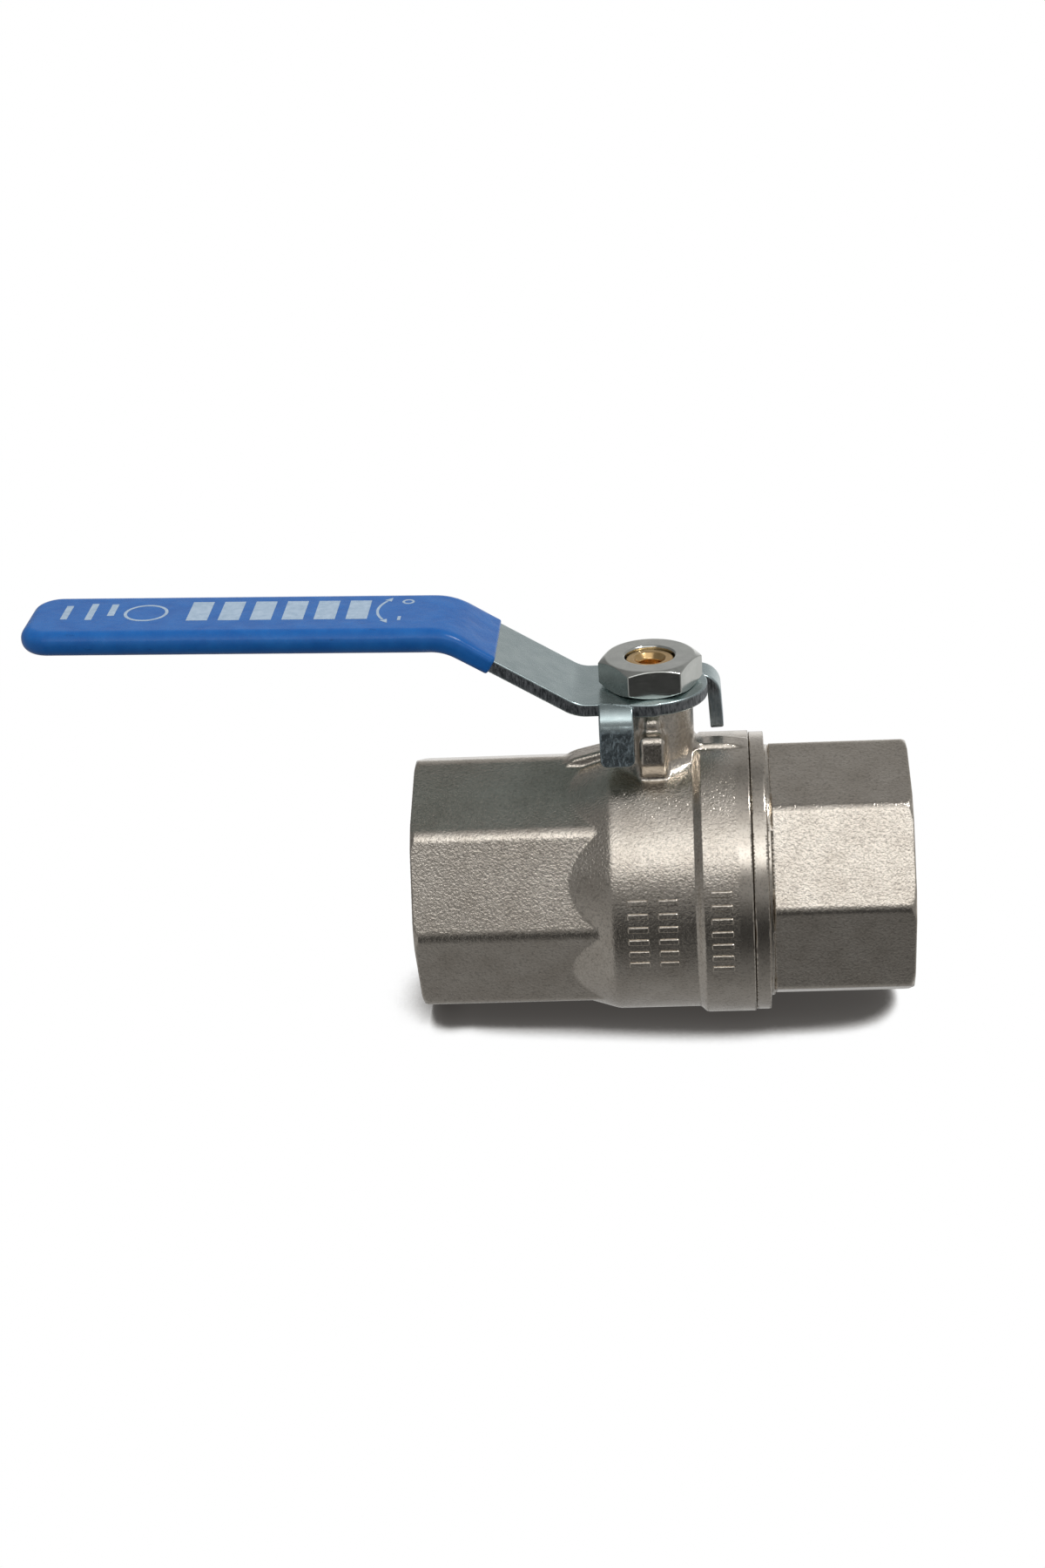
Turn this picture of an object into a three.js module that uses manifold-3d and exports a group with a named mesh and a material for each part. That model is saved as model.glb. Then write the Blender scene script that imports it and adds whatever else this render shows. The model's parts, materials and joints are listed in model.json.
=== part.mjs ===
// Lever ball valve with internal G 1 1/4 pipe threads, two-piece body, full bore.
//
// Millimetres. +X runs along the pipe towards the screwed end cap and +Z runs up the stem. The
// lever is in its open position, pointing along -X, and closes by turning 90 degrees clockwise
// seen from above. Every part is drawn about the centre of the ball, and the whole group is
// then moved so that the origin lies under the middle of its length, at the height of the
// collar's lowest line.
import * as THREE from "three";
import { mergeVertices } from "three/addons/utils/BufferGeometryUtils.js";
import Module from "manifold-3d";

const wasm = await Module();
wasm.setup();

// ---------------------------------------------------------------- driving dimensions

const ROUND_STEPS = 48;                 // facets round a large turned surface
const SMALL_STEPS = 32;                 // facets round a stem-sized surface

// Pipe thread G 1 1/4: the cut bore has the thread's minor diameter.
const THREAD_MINOR_R = 19.476;
const THREAD_MOUTH_R = 21.5;
const THREAD_DEPTH = 19;
const PORT_R = 15.5;

// Wrench octagons at both ends.
const OCTAGON_FLATS = 47;
const BODY_CORNER_R = 3.5;
const CAP_CORNER_R = 2.4;
const CAP_CLOCKING = THREE.MathUtils.degToRad(7.95);
const END_CHAMFER = 0.6;
const END_RIM_R = 24.5;

// Stations along the pipe.
const BODY_END_X = -45.84;
const CAP_END_X = 47.86;
const CONE_START_X = -16.33;
const BULGE_START_X = -8.3;
const COLLAR_START_X = 7.2;
const COLLAR_FULL_X = 8.5;
const BODY_SEAM_X = 17.8;
const FLANGE_START_X = 18;
const FLANGE_END_X = 20.8;
const CAP_OCTAGON_X = 21.6;

// Turned and forged radii about the pipe axis.
const BULGE_R = 25.95;
const COLLAR_R = 27.08;
const FLANGE_R = 26.8;
const UNDERCUT_R = 24.2;
const CAVITY_R = 21.6;
const JOINT_BORE_R = 23.2;
const SPIGOT_R = 23.05;
const SPIGOT_END_X = 9.1;
const CAVITY_END_X = 7.4;

// Ball and seats.
const BALL_R = 20.3;
const SEAT_SPHERE_R = 20.5;
const SEAT_INNER_R = 15.6;
const SEAT_OUTER_R = 19.4;
const SEAT_FACE_X = 11;
const SEAT_BACK_X = 16.8;
const SEAT_POCKET_R = 19.6;
const SEAT_POCKET_X = 17;
const SLOT_WIDTH = 6;
const SLOT_FLOOR_Z = 16.6;

// Neck, stem and stem seals.
const NECK_R = 7.75;
const NECK_TOP_Z = 37.2;
const STEM_R = 4.95;
const STEM_BORE_R = 5.15;
const STEM_COLLAR_R = 6.8;
const STEM_POCKET_R = 7.1;
const STEM_POCKET_Z = 24.25;
const TANG_THICKNESS = 5.6;
const TANG_WIDTH = 11;
const TANG_BOTTOM_Z = 16.9;
const STEM_COLLAR_Z = [21, 23];
const STEM_SHOULDER_Z = 37.34;
const STEM_TOP_Z = 44.9;
const STEM_FLATS = 7.5;
const STEM_RECESS_R = 2.1;
const STEM_RECESS_DEPTH = 3;
const GROOVE_R = 3.5;
const GROOVE_HEIGHT = 2;
const O_RING_Z = [27.5, 31];
const O_RING_R = 4.35;
const O_RING_SECTION_R = 0.72;

// Stop lugs in front of and behind the neck: a broad block on a sloping foot, a narrow web above.
const LUG_HALF_WIDTH = 2.42;
const LUG_FRONT = 12.3;
const LUG_FOOT = 8.16;
const LUG_FOOT_Z = 23;
const LUG_BLOCK_Z = [28.3, 33.7];
const WEB_HALF_WIDTH = 1.8;
const WEB_FRONT = 9.4;
const LUG_TOP_Z = 36.8;

// Ribs from the neck along the top of the body, on the forging's parting line.
const RIB_WIDTH = 4.6;
const RIB_TOP = [
  [-15.4, 25.2],
  [-14.8, 25.9],
  [-10, 27.1],
  [-7, 27.84],
  [16, 27.84],
  [17.4, 27.2],
];

// Lever: one bent strip of plate with a round hub and two stop tabs.
const PLATE = 2.5;
const HUB_TOP_Z = 39.94;
const HUB_R = 10.6;
const STRIP_WIDTH = 19.6;
const LEVER_END_X = -114.5;
const LEVER_PATH = [
  { x: 0, z: HUB_TOP_Z - PLATE / 2, bend: 0 },
  { x: -13.6, z: HUB_TOP_Z - PLATE / 2, bend: 7 },
  { x: -37.2, z: 53.33, bend: 11 },
  { x: LEVER_END_X, z: 55.61, bend: 0 },
];
const TAB_WIDTH = 6.4;
const TAB_OFFSET = 6.4;
const TAB_FACE = 13.4;
const TAB_LEAN = 0.5;
const TAB_BOTTOM_Z = 28.5;
const TAB_BEND_R = 2.9;

// Dipped vinyl grip.
const GRIP_MOUTH_X = -29;
const GRIP_END_X = -117;
const GRIP_WIDTH = 21;
const GRIP_THICKNESS = 4.8;
const GRIP_MOUTH_THICKNESS = 3.8;
const GRIP_EDGE_R = 1.1;
const GRIP_CORNER_R = 5.5;
const GRIP_CLEARANCE = 0.05;

// Lever nut, M10 low form.
const NUT_FLATS = 17;
const NUT_HEIGHT = 5.57;
const NUT_BORE_R = 5.05;
const NUT_CHAMFER_R = 8.6;
const NUT_CLOCKING = THREE.MathUtils.degToRad(6.2);

// ---------------------------------------------------------------- solids

// A closed three.js geometry as a solid.
function solid(geometry) {
  const bare = geometry.index ? geometry.toNonIndexed() : geometry.clone();
  bare.deleteAttribute("normal");
  bare.deleteAttribute("uv");
  const merged = mergeVertices(bare, 1e-4);
  const vertProperties = new Float32Array(merged.attributes.position.array);
  const triVerts = new Uint32Array(merged.index.array);
  return new wasm.Manifold(new wasm.Mesh({ numProp: 3, vertProperties, triVerts }));
}

// The named mesh of a finished solid.
function part(name, body, material) {
  const { vertProperties, triVerts } = body.getMesh();
  const geometry = new THREE.BufferGeometry();
  geometry.setAttribute("position", new THREE.BufferAttribute(vertProperties, 3));
  geometry.setIndex(new THREE.BufferAttribute(triVerts, 1));
  geometry.computeVertexNormals();
  const mesh = new THREE.Mesh(geometry, material);
  mesh.name = name;
  return mesh;
}

function finish(color, roughness, metalness) {
  return new THREE.MeshStandardMaterial({ color, roughness, metalness });
}

function union(...solids) {
  return solids.reduce((sum, next) => sum.add(next));
}

// Revolves a profile of [radius, height] points about +Z.
function turnedZ(profile, steps = SMALL_STEPS) {
  const points = profile.map(([r, z]) => new THREE.Vector2(r, z));
  const geometry = new THREE.LatheGeometry(points, steps);
  geometry.rotateX(Math.PI / 2);
  return solid(geometry);
}

// Revolves a profile of [radius, station] points about +X.
function turnedX(profile, steps = ROUND_STEPS) {
  const points = profile.map(([r, x]) => new THREE.Vector2(r, x));
  const geometry = new THREE.LatheGeometry(points, steps);
  geometry.rotateZ(-Math.PI / 2);
  return solid(geometry);
}

function cylinderX(radius, fromX, toX) {
  return turnedX([[0, fromX], [radius, fromX], [radius, toX], [0, toX]]);
}

function cylinderZ(radius, fromZ, toZ, steps = SMALL_STEPS) {
  return turnedZ([[0, fromZ], [radius, fromZ], [radius, toZ], [0, toZ]], steps);
}

// Extrudes a shape drawn in the (Y, Z) plane along +X.
function prismX(shape, fromX, toX, curveSegments = 4) {
  const settings = { depth: toX - fromX, bevelEnabled: false, curveSegments };
  const geometry = new THREE.ExtrudeGeometry(shape, settings);
  const yAxis = new THREE.Vector3(0, 1, 0);
  const zAxis = new THREE.Vector3(0, 0, 1);
  const xAxis = new THREE.Vector3(1, 0, 0);
  geometry.applyMatrix4(new THREE.Matrix4().makeBasis(yAxis, zAxis, xAxis));
  geometry.translate(fromX, 0, 0);
  return solid(geometry);
}

// Extrudes a shape drawn in the (X, Z) plane along Y, centred on Y = 0, with rounded edges.
function plateY(shape, width, edge = 0) {
  const settings = {
    depth: width - 2 * edge,
    bevelEnabled: edge > 0,
    bevelThickness: edge,
    bevelSize: edge,
    bevelSegments: 2,
    curveSegments: 6,
  };
  const geometry = new THREE.ExtrudeGeometry(shape, settings);
  geometry.translate(0, 0, edge - width / 2);
  geometry.rotateX(Math.PI / 2);
  return solid(geometry);
}

// Extrudes a shape drawn in the (X, Y) plane from one height to another.
function plateZ(shape, fromZ, toZ) {
  const settings = { depth: toZ - fromZ, bevelEnabled: false, curveSegments: 6 };
  const geometry = new THREE.ExtrudeGeometry(shape, settings);
  geometry.translate(0, 0, fromZ);
  return solid(geometry);
}

// ---------------------------------------------------------------- outlines

// A regular polygon with rounded corners. The first flat's normal points at angle `clocking`.
function roundedPolygon(sides, flats, cornerR, clocking) {
  const half = Math.PI / sides;
  const centreR = (flats / 2 - cornerR) / Math.cos(half);
  const shape = new THREE.Shape();
  for (let i = 0; i < sides; i += 1) {
    const angle = clocking + (2 * i + 1) * half;
    const x = centreR * Math.cos(angle);
    const y = centreR * Math.sin(angle);
    shape.absarc(x, y, cornerR, angle - half, angle + half, false);
  }
  shape.closePath();
  return shape;
}

function roundedRectangle(minX, minY, maxX, maxY, r) {
  const shape = new THREE.Shape();
  shape.absarc(maxX - r, minY + r, r, -Math.PI / 2, 0, false);
  shape.absarc(maxX - r, maxY - r, r, 0, Math.PI / 2, false);
  shape.absarc(minX + r, maxY - r, r, Math.PI / 2, Math.PI, false);
  shape.absarc(minX + r, minY + r, r, Math.PI, 1.5 * Math.PI, false);
  shape.closePath();
  return shape;
}

// Points and left-hand normals along a bent centre line: straight runs joined by arcs.
function centreLine(path, arcSteps = 6) {
  const vertices = path.map(({ x, z }) => new THREE.Vector2(x, z));
  const samples = [];
  path.forEach(({ bend }, i) => {
    const here = vertices[i];
    const before = vertices[Math.max(i - 1, 0)];
    const after = vertices[Math.min(i + 1, path.length - 1)];
    const into = (i > 0 ? here.clone().sub(before) : after.clone().sub(here)).normalize();
    const out = (i < path.length - 1 ? after.clone().sub(here) : into.clone()).normalize();
    const turn = Math.atan2(into.cross(out), into.dot(out));
    if (bend === 0) {
      samples.push({ point: here, normal: new THREE.Vector2(-into.y, into.x) });
      return;
    }
    const start = here.clone().addScaledVector(into, -bend * Math.tan(Math.abs(turn) / 2));
    const side = Math.sign(turn);
    const inward = new THREE.Vector2(-into.y, into.x).multiplyScalar(side);
    const centre = start.clone().addScaledVector(inward, bend);
    for (let k = 0; k <= arcSteps; k += 1) {
      const angle = (turn * k) / arcSteps;
      const spoke = start.clone().sub(centre).rotateAround(new THREE.Vector2(), angle);
      const normal = spoke.clone().multiplyScalar(-side / bend);
      samples.push({ point: centre.clone().add(spoke), normal });
    }
  });
  return samples;
}

// The side outline of a bent strip whose half thickness may vary along it.
function stripOutline(path, halfThickness) {
  const samples = centreLine(path);
  const offset = (sign) => ({ point, normal }) =>
    point.clone().addScaledVector(normal, sign * halfThickness(point.x));
  const oneSide = samples.map(offset(1));
  const otherSide = samples.map(offset(-1)).reverse();
  return new THREE.Shape([...oneSide, ...otherSide]);
}

// The lever's centre line from a given station on its slope to a given end station.
function gripPath(fromX, toX) {
  const [, first, second, last] = LEVER_PATH;
  const slope = (second.z - first.z) / (second.x - first.x);
  const rise = (last.z - second.z) / (last.x - second.x);
  return [
    { x: fromX, z: second.z + slope * (fromX - second.x), bend: 0 },
    second,
    { x: toX, z: second.z + rise * (toX - second.x), bend: 0 },
  ];
}

// ---------------------------------------------------------------- housing

// The internal passage from a port face to the ball, on the side given by sign.
function portPassage(faceX, sign) {
  const threadEndX = faceX - sign * THREAD_DEPTH;
  const mouthDepth = THREAD_MOUTH_R - THREAD_MINOR_R;
  const profile = [
    [0, faceX + sign],
    [THREAD_MOUTH_R, faceX + sign],
    [THREAD_MOUTH_R, faceX],
    [THREAD_MINOR_R, faceX - sign * mouthDepth],
    [THREAD_MINOR_R, threadEndX],
    [PORT_R, threadEndX - sign * 2],
    [PORT_R, sign * SEAT_POCKET_X],
    [SEAT_POCKET_R, sign * SEAT_POCKET_X],
    [SEAT_POCKET_R, sign * (SPIGOT_END_X - 1)],
    [0, sign * (SPIGOT_END_X - 1)],
  ];
  return turnedX(sign > 0 ? profile.reverse() : profile);
}

// Trims the corners of an octagon's free end.
function endTrim(endX, sign) {
  const cornerR = OCTAGON_FLATS / 2 / Math.cos(Math.PI / 8) + 1;
  const fullX = endX - sign * END_CHAMFER * 2;
  const profile = [
    [0, endX],
    [END_RIM_R, endX],
    [END_RIM_R + END_CHAMFER, endX - sign * END_CHAMFER],
    [cornerR, fullX],
    [cornerR, 0],
    [0, 0],
  ];
  return turnedX(sign > 0 ? profile.reverse() : profile);
}

// One stop lug beside the neck, from its profile in the (Y, Z) plane. side is -1 or +1 in Y.
function stopLug(side) {
  const [blockLow, blockHigh] = LUG_BLOCK_Z;
  const block = new THREE.Shape();
  block.moveTo(-STEM_POCKET_R, LUG_FOOT_Z);
  block.lineTo(-STEM_POCKET_R, blockHigh);
  block.lineTo(-LUG_FRONT + 1, blockHigh);
  block.lineTo(-LUG_FRONT, blockHigh - 1);
  block.lineTo(-LUG_FRONT, blockLow + 0.6);
  block.lineTo(-LUG_FRONT + 0.5, blockLow);
  block.lineTo(-LUG_FOOT, LUG_FOOT_Z);
  block.closePath();
  const web = new THREE.Shape();
  web.moveTo(-STEM_POCKET_R, blockHigh - 1);
  web.lineTo(-STEM_POCKET_R, LUG_TOP_Z);
  web.lineTo(-WEB_FRONT + 0.6, LUG_TOP_Z);
  web.lineTo(-WEB_FRONT, LUG_TOP_Z - 0.6);
  web.lineTo(-WEB_FRONT, blockHigh - 1);
  web.closePath();
  const lug = union(
    prismX(block, -LUG_HALF_WIDTH, LUG_HALF_WIDTH),
    prismX(web, -WEB_HALF_WIDTH, WEB_HALF_WIDTH),
  );
  return side < 0 ? lug : lug.rotate([0, 0, 180]);
}

function bodyOutside() {
  const octagon = prismX(
    roundedPolygon(8, OCTAGON_FLATS, BODY_CORNER_R, Math.PI / 8),
    BODY_END_X,
    BULGE_START_X,
  );
  const barrel = turnedX([
    [0, CONE_START_X],
    [OCTAGON_FLATS / 2, CONE_START_X],
    [BULGE_R, BULGE_START_X],
    [BULGE_R, COLLAR_START_X],
    [COLLAR_R - 0.2, COLLAR_FULL_X - 0.3],
    [COLLAR_R, COLLAR_FULL_X],
    [COLLAR_R, BODY_SEAM_X],
    [0, BODY_SEAM_X],
  ]);
  const neck = turnedZ([
    [0, CAVITY_R],
    [11.2, CAVITY_R],
    [11.2, 23.6],
    [9.6, 25.6],
    [8.4, 27.4],
    [7.9, 29.3],
    [NECK_R, 31],
    [NECK_R, NECK_TOP_Z - 0.4],
    [NECK_R - 0.4, NECK_TOP_Z],
    [0, NECK_TOP_Z],
  ], 40);
  const rib = new THREE.Shape();
  rib.moveTo(RIB_TOP[0][0], CAVITY_R + 2);
  RIB_TOP.forEach(([x, z]) => rib.lineTo(x, z));
  rib.lineTo(RIB_TOP.at(-1)[0], CAVITY_R + 2);
  rib.closePath();
  const ribs = plateY(rib, RIB_WIDTH);
  return union(
    octagon.intersect(endTrim(BODY_END_X, -1)),
    barrel,
    neck,
    ribs,
    stopLug(-1),
    stopLug(1),
  );
}

function buildBody() {
  const cavity = turnedX([
    [0, -SEAT_FACE_X + 0.5],
    [SEAT_POCKET_R, -SEAT_FACE_X + 0.5],
    [CAVITY_R, -SEAT_FACE_X + 2.5],
    [CAVITY_R, CAVITY_END_X],
    [JOINT_BORE_R, CAVITY_END_X],
    [JOINT_BORE_R, BODY_SEAM_X + 1],
    [0, BODY_SEAM_X + 1],
  ]);
  const stemBore = turnedZ([
    [0, 0],
    [STEM_POCKET_R, 0],
    [STEM_POCKET_R, STEM_POCKET_Z],
    [STEM_BORE_R, STEM_POCKET_Z],
    [STEM_BORE_R, NECK_TOP_Z + 1],
    [0, NECK_TOP_Z + 1],
  ], 40);
  return bodyOutside()
    .subtract(portPassage(BODY_END_X, -1))
    .subtract(cavity)
    .subtract(stemBore);
}

function buildEndCap() {
  const spigot = turnedX([
    [0, SPIGOT_END_X],
    [SPIGOT_R - 0.5, SPIGOT_END_X],
    [SPIGOT_R, SPIGOT_END_X + 0.5],
    [SPIGOT_R, FLANGE_START_X],
    [FLANGE_R - 0.25, FLANGE_START_X],
    [FLANGE_R, FLANGE_START_X + 0.3],
    [FLANGE_R, FLANGE_END_X - 0.5],
    [FLANGE_R - 0.5, FLANGE_END_X],
    [UNDERCUT_R, FLANGE_END_X],
    [UNDERCUT_R, CAP_OCTAGON_X + 1],
    [0, CAP_OCTAGON_X + 1],
  ]);
  const octagon = prismX(
    roundedPolygon(8, OCTAGON_FLATS, CAP_CORNER_R, Math.PI / 8 - CAP_CLOCKING),
    CAP_OCTAGON_X,
    CAP_END_X,
  );
  return union(spigot, octagon.intersect(endTrim(CAP_END_X, 1))).subtract(portPassage(CAP_END_X, 1));
}

// A flat ring of rectangular section that seals the end of the cap's spigot in the body.
function buildBodySeal() {
  const inner = 21.7;
  const outer = JOINT_BORE_R - 0.1;
  const left = CAVITY_END_X + 0.1;
  const right = SPIGOT_END_X - 0.1;
  return turnedX([[inner, left], [outer, left], [outer, right], [inner, right], [inner, left]]);
}

// A seat ring whose face is part of a sphere just larger than the ball.
function buildSeat(sign) {
  const arc = [];
  const faceInnerX = Math.sqrt(SEAT_SPHERE_R ** 2 - SEAT_INNER_R ** 2);
  const startAngle = Math.atan2(SEAT_INNER_R, faceInnerX);
  const endAngle = Math.acos(SEAT_FACE_X / SEAT_SPHERE_R);
  for (let k = 0; k <= 3; k += 1) {
    const angle = startAngle + ((endAngle - startAngle) * k) / 3;
    arc.push([SEAT_SPHERE_R * Math.sin(angle), sign * SEAT_SPHERE_R * Math.cos(angle)]);
  }
  const profile = [
    ...arc,
    [SEAT_OUTER_R, sign * SEAT_FACE_X],
    [SEAT_OUTER_R, sign * SEAT_BACK_X],
    [SEAT_INNER_R, sign * SEAT_BACK_X],
    arc[0],
  ];
  return turnedX(sign > 0 ? profile : profile.reverse());
}

function buildThrustWasher() {
  const low = STEM_COLLAR_Z[1] + 0.1;
  const high = STEM_POCKET_Z - 0.1;
  return turnedZ([
    [STEM_BORE_R, low],
    [STEM_COLLAR_R - 0.1, low],
    [STEM_COLLAR_R - 0.1, high],
    [STEM_BORE_R, high],
    [STEM_BORE_R, low],
  ], 40);
}

// ---------------------------------------------------------------- ball

function buildBall() {
  const profile = [];
  const steps = 18;
  for (let k = 0; k <= steps; k += 1) {
    const angle = Math.PI - (Math.PI * k) / steps;
    profile.push([BALL_R * Math.sin(angle), BALL_R * Math.cos(angle)]);
  }
  profile[0][0] = 0;
  profile[steps][0] = 0;
  const mouthX = Math.sqrt(BALL_R ** 2 - PORT_R ** 2);
  const bore = turnedX([
    [0, -BALL_R - 1],
    [PORT_R + 1, -BALL_R - 1],
    [PORT_R + 1, -mouthX - 0.1],
    [PORT_R, -mouthX + 0.8],
    [PORT_R, mouthX - 0.8],
    [PORT_R + 1, mouthX + 0.1],
    [PORT_R + 1, BALL_R + 1],
    [0, BALL_R + 1],
  ]);
  const slot = new THREE.BoxGeometry(SLOT_WIDTH, 2 * BALL_R, 2 * (BALL_R - SLOT_FLOOR_Z));
  slot.translate(0, 0, BALL_R);
  return turnedX(profile).subtract(bore).subtract(solid(slot));
}

// ---------------------------------------------------------------- stem and lever

// Keeps the part of a round bar between two flats that face +X and -X.
function flatBar(across, width, fromZ, toZ) {
  const box = new THREE.BoxGeometry(across, width, toZ - fromZ);
  box.translate(0, 0, (fromZ + toZ) / 2);
  return solid(box);
}

function buildStem() {
  const [collarLow, collarHigh] = STEM_COLLAR_Z;
  const profile = [
    [0, collarLow],
    [STEM_COLLAR_R, collarLow],
    [STEM_COLLAR_R, collarHigh],
    [STEM_R, collarHigh],
  ];
  O_RING_Z.forEach((z) => {
    profile.push([STEM_R, z - GROOVE_HEIGHT / 2], [GROOVE_R, z - GROOVE_HEIGHT / 2]);
    profile.push([GROOVE_R, z + GROOVE_HEIGHT / 2], [STEM_R, z + GROOVE_HEIGHT / 2]);
  });
  profile.push([STEM_R, STEM_SHOULDER_Z], [0, STEM_SHOULDER_Z]);
  const spindle = turnedZ(profile, 40);
  const tang = flatBar(TANG_THICKNESS, TANG_WIDTH, TANG_BOTTOM_Z, collarLow + 0.5);
  const end = turnedZ([
    [0, STEM_SHOULDER_Z - 0.5],
    [STEM_R, STEM_SHOULDER_Z - 0.5],
    [STEM_R, STEM_TOP_Z - 0.5],
    [STEM_R - 0.5, STEM_TOP_Z],
    [0, STEM_TOP_Z],
  ]);
  const flats = flatBar(STEM_FLATS, 3 * STEM_R, STEM_SHOULDER_Z - 0.5, STEM_TOP_Z);
  const recess = turnedZ([
    [0, STEM_TOP_Z - STEM_RECESS_DEPTH - 0.8],
    [STEM_RECESS_R, STEM_TOP_Z - STEM_RECESS_DEPTH],
    [STEM_RECESS_R, STEM_TOP_Z + 1],
    [0, STEM_TOP_Z + 1],
  ], 16);
  return union(spindle, tang, end.intersect(flats)).subtract(recess);
}

function buildStemRing(z) {
  const ring = new THREE.TorusGeometry(O_RING_R, O_RING_SECTION_R, 6, 28);
  ring.translate(0, 0, z);
  return solid(ring);
}

// One stop tab, bent down from the hub over the -Y edge and centred on X = 0.
function stopTab() {
  const middle = TAB_FACE - PLATE / 2;
  const path = [
    { x: -6.5, z: HUB_TOP_Z - PLATE / 2, bend: 0 },
    { x: TAB_LEAN - middle, z: HUB_TOP_Z - PLATE / 2, bend: TAB_BEND_R },
    { x: -middle, z: TAB_BOTTOM_Z, bend: 0 },
  ];
  const blank = plateY(stripOutline(path, () => PLATE / 2), TAB_WIDTH).rotate([0, 0, 90]);
  const half = TAB_WIDTH / 2;
  const trim = roundedRectangle(-half, TAB_BOTTOM_Z, half, HUB_TOP_Z + 5, 1.3);
  return blank.intersect(plateY(trim, 4 * TAB_FACE));
}

function buildLever() {
  const strip = plateY(stripOutline(LEVER_PATH, () => PLATE / 2), STRIP_WIDTH);
  const half = STRIP_WIDTH / 2;
  const plan = plateZ(roundedRectangle(LEVER_END_X, -half, half, half, GRIP_CORNER_R - 1), 30, 70);
  const hub = cylinderZ(HUB_R, HUB_TOP_Z - PLATE, HUB_TOP_Z, 48);
  const frontTab = stopTab().translate([-TAB_OFFSET, 0, 0]);
  const sideTab = stopTab().translate([TAB_OFFSET, 0, 0]).rotate([0, 0, 90]);
  const hole = cylinderZ(STEM_R + 0.1, HUB_TOP_Z - 2 * PLATE, HUB_TOP_Z + PLATE);
  const keyed = hole.intersect(flatBar(STEM_FLATS + 0.2, 20, HUB_TOP_Z - 3 * PLATE, HUB_TOP_Z + 3));
  return union(strip.intersect(plan), hub, frontTab, sideTab).subtract(keyed);
}

// The dipped sleeve: thin at its mouth on the slope, full thickness from the second bend on.
function buildGrip() {
  const mouthHalf = GRIP_MOUTH_THICKNESS / 2 - GRIP_EDGE_R;
  const fullHalf = GRIP_THICKNESS / 2 - GRIP_EDGE_R;
  const bendX = LEVER_PATH[2].x;
  const halfThickness = (x) => {
    const share = THREE.MathUtils.clamp((GRIP_MOUTH_X - x) / (GRIP_MOUTH_X - bendX - 4), 0, 1);
    return THREE.MathUtils.lerp(mouthHalf, fullHalf, share);
  };
  const outline = stripOutline(gripPath(GRIP_MOUTH_X + 2, GRIP_END_X + GRIP_EDGE_R), halfThickness);
  const sleeve = plateY(outline, GRIP_WIDTH, GRIP_EDGE_R);
  const half = GRIP_WIDTH / 2;
  const plan = roundedRectangle(GRIP_END_X, -half, GRIP_MOUTH_X + 20, half, GRIP_CORNER_R);
  const mouthCut = new THREE.BoxGeometry(20, 40, 40);
  mouthCut.translate(GRIP_MOUTH_X + 10, 0, 45);
  const cavityHalf = PLATE / 2 + GRIP_CLEARANCE;
  const cavityEndX = LEVER_END_X - GRIP_CLEARANCE;
  const cavity = plateY(
    stripOutline(gripPath(GRIP_MOUTH_X + 8, cavityEndX), () => cavityHalf),
    STRIP_WIDTH + 2 * GRIP_CLEARANCE,
  );
  return sleeve
    .intersect(plateZ(plan, 30, 70))
    .subtract(solid(mouthCut))
    .subtract(cavity);
}

function buildNut() {
  const low = HUB_TOP_Z + 0.02;
  const high = low + NUT_HEIGHT;
  const hexagon = plateZ(
    roundedPolygon(6, NUT_FLATS, 0.3, -Math.PI / 2 + NUT_CLOCKING),
    low,
    high,
  );
  const turned = turnedZ([
    [0, low],
    [NUT_CHAMFER_R, low],
    [NUT_FLATS / 2 + 1.5, low + 0.75],
    [NUT_FLATS / 2 + 1.5, high - 0.75],
    [NUT_CHAMFER_R, high],
    [0, high],
  ], 36);
  const bore = cylinderZ(NUT_BORE_R, low - 1, high + 1);
  return hexagon.intersect(turned).subtract(bore);
}

// ---------------------------------------------------------------- assembly

const nickel = () => finish(0x9a9186, 0.34, 1);
const brass = () => finish(0xb08a55, 0.32, 1);
const chrome = () => finish(0xd0d2d4, 0.08, 1);
const zincPlate = () => finish(0x8d979c, 0.36, 1);
const vinyl = () => finish(0x2862ad, 0.42, 0);
const ptfe = () => finish(0xf1f0ea, 0.5, 0);
const rubber = () => finish(0x17181a, 0.75, 0);

const housing = new THREE.Group();
housing.add(
  part("body", buildBody(), nickel()),
  part("end_cap", buildEndCap(), nickel()),
  part("body_seal", buildBodySeal(), ptfe()),
  part("seat_ring_left", buildSeat(-1), ptfe()),
  part("seat_ring_right", buildSeat(1), ptfe()),
  part("stem_thrust_washer", buildThrustWasher(), ptfe()),
);

const ball = new THREE.Group();
ball.add(part("ball", buildBall(), chrome()));

const stemLever = new THREE.Group();
stemLever.add(
  part("stem", buildStem(), brass()),
  part("stem_o_ring_lower", buildStemRing(O_RING_Z[0]), rubber()),
  part("stem_o_ring_upper", buildStemRing(O_RING_Z[1]), rubber()),
  part("lever", buildLever(), zincPlate()),
  part("lever_grip", buildGrip(), vinyl()),
  part("lever_nut", buildNut(), zincPlate()),
);

const group = new THREE.Group();
group.add(housing, ball, stemLever);
group.position.set(-(GRIP_END_X + CAP_END_X) / 2, 0, COLLAR_R);

export default group;
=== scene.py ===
"""Lever ball valve, G 1 1/4: the finished surfaces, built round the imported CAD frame.

Shapes are written in millimetres about the ball's centre, which the frame's hinge gives: +X along
the pipe towards the screwed end cap, +Z up the stem, lever along -X when open. Solid pieces are
described by signed distance fields with real fillet radii and turned into meshes of quads.
"""

import json
import math

import bpy
import numpy as np
from mathutils import Matrix, Vector


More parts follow.
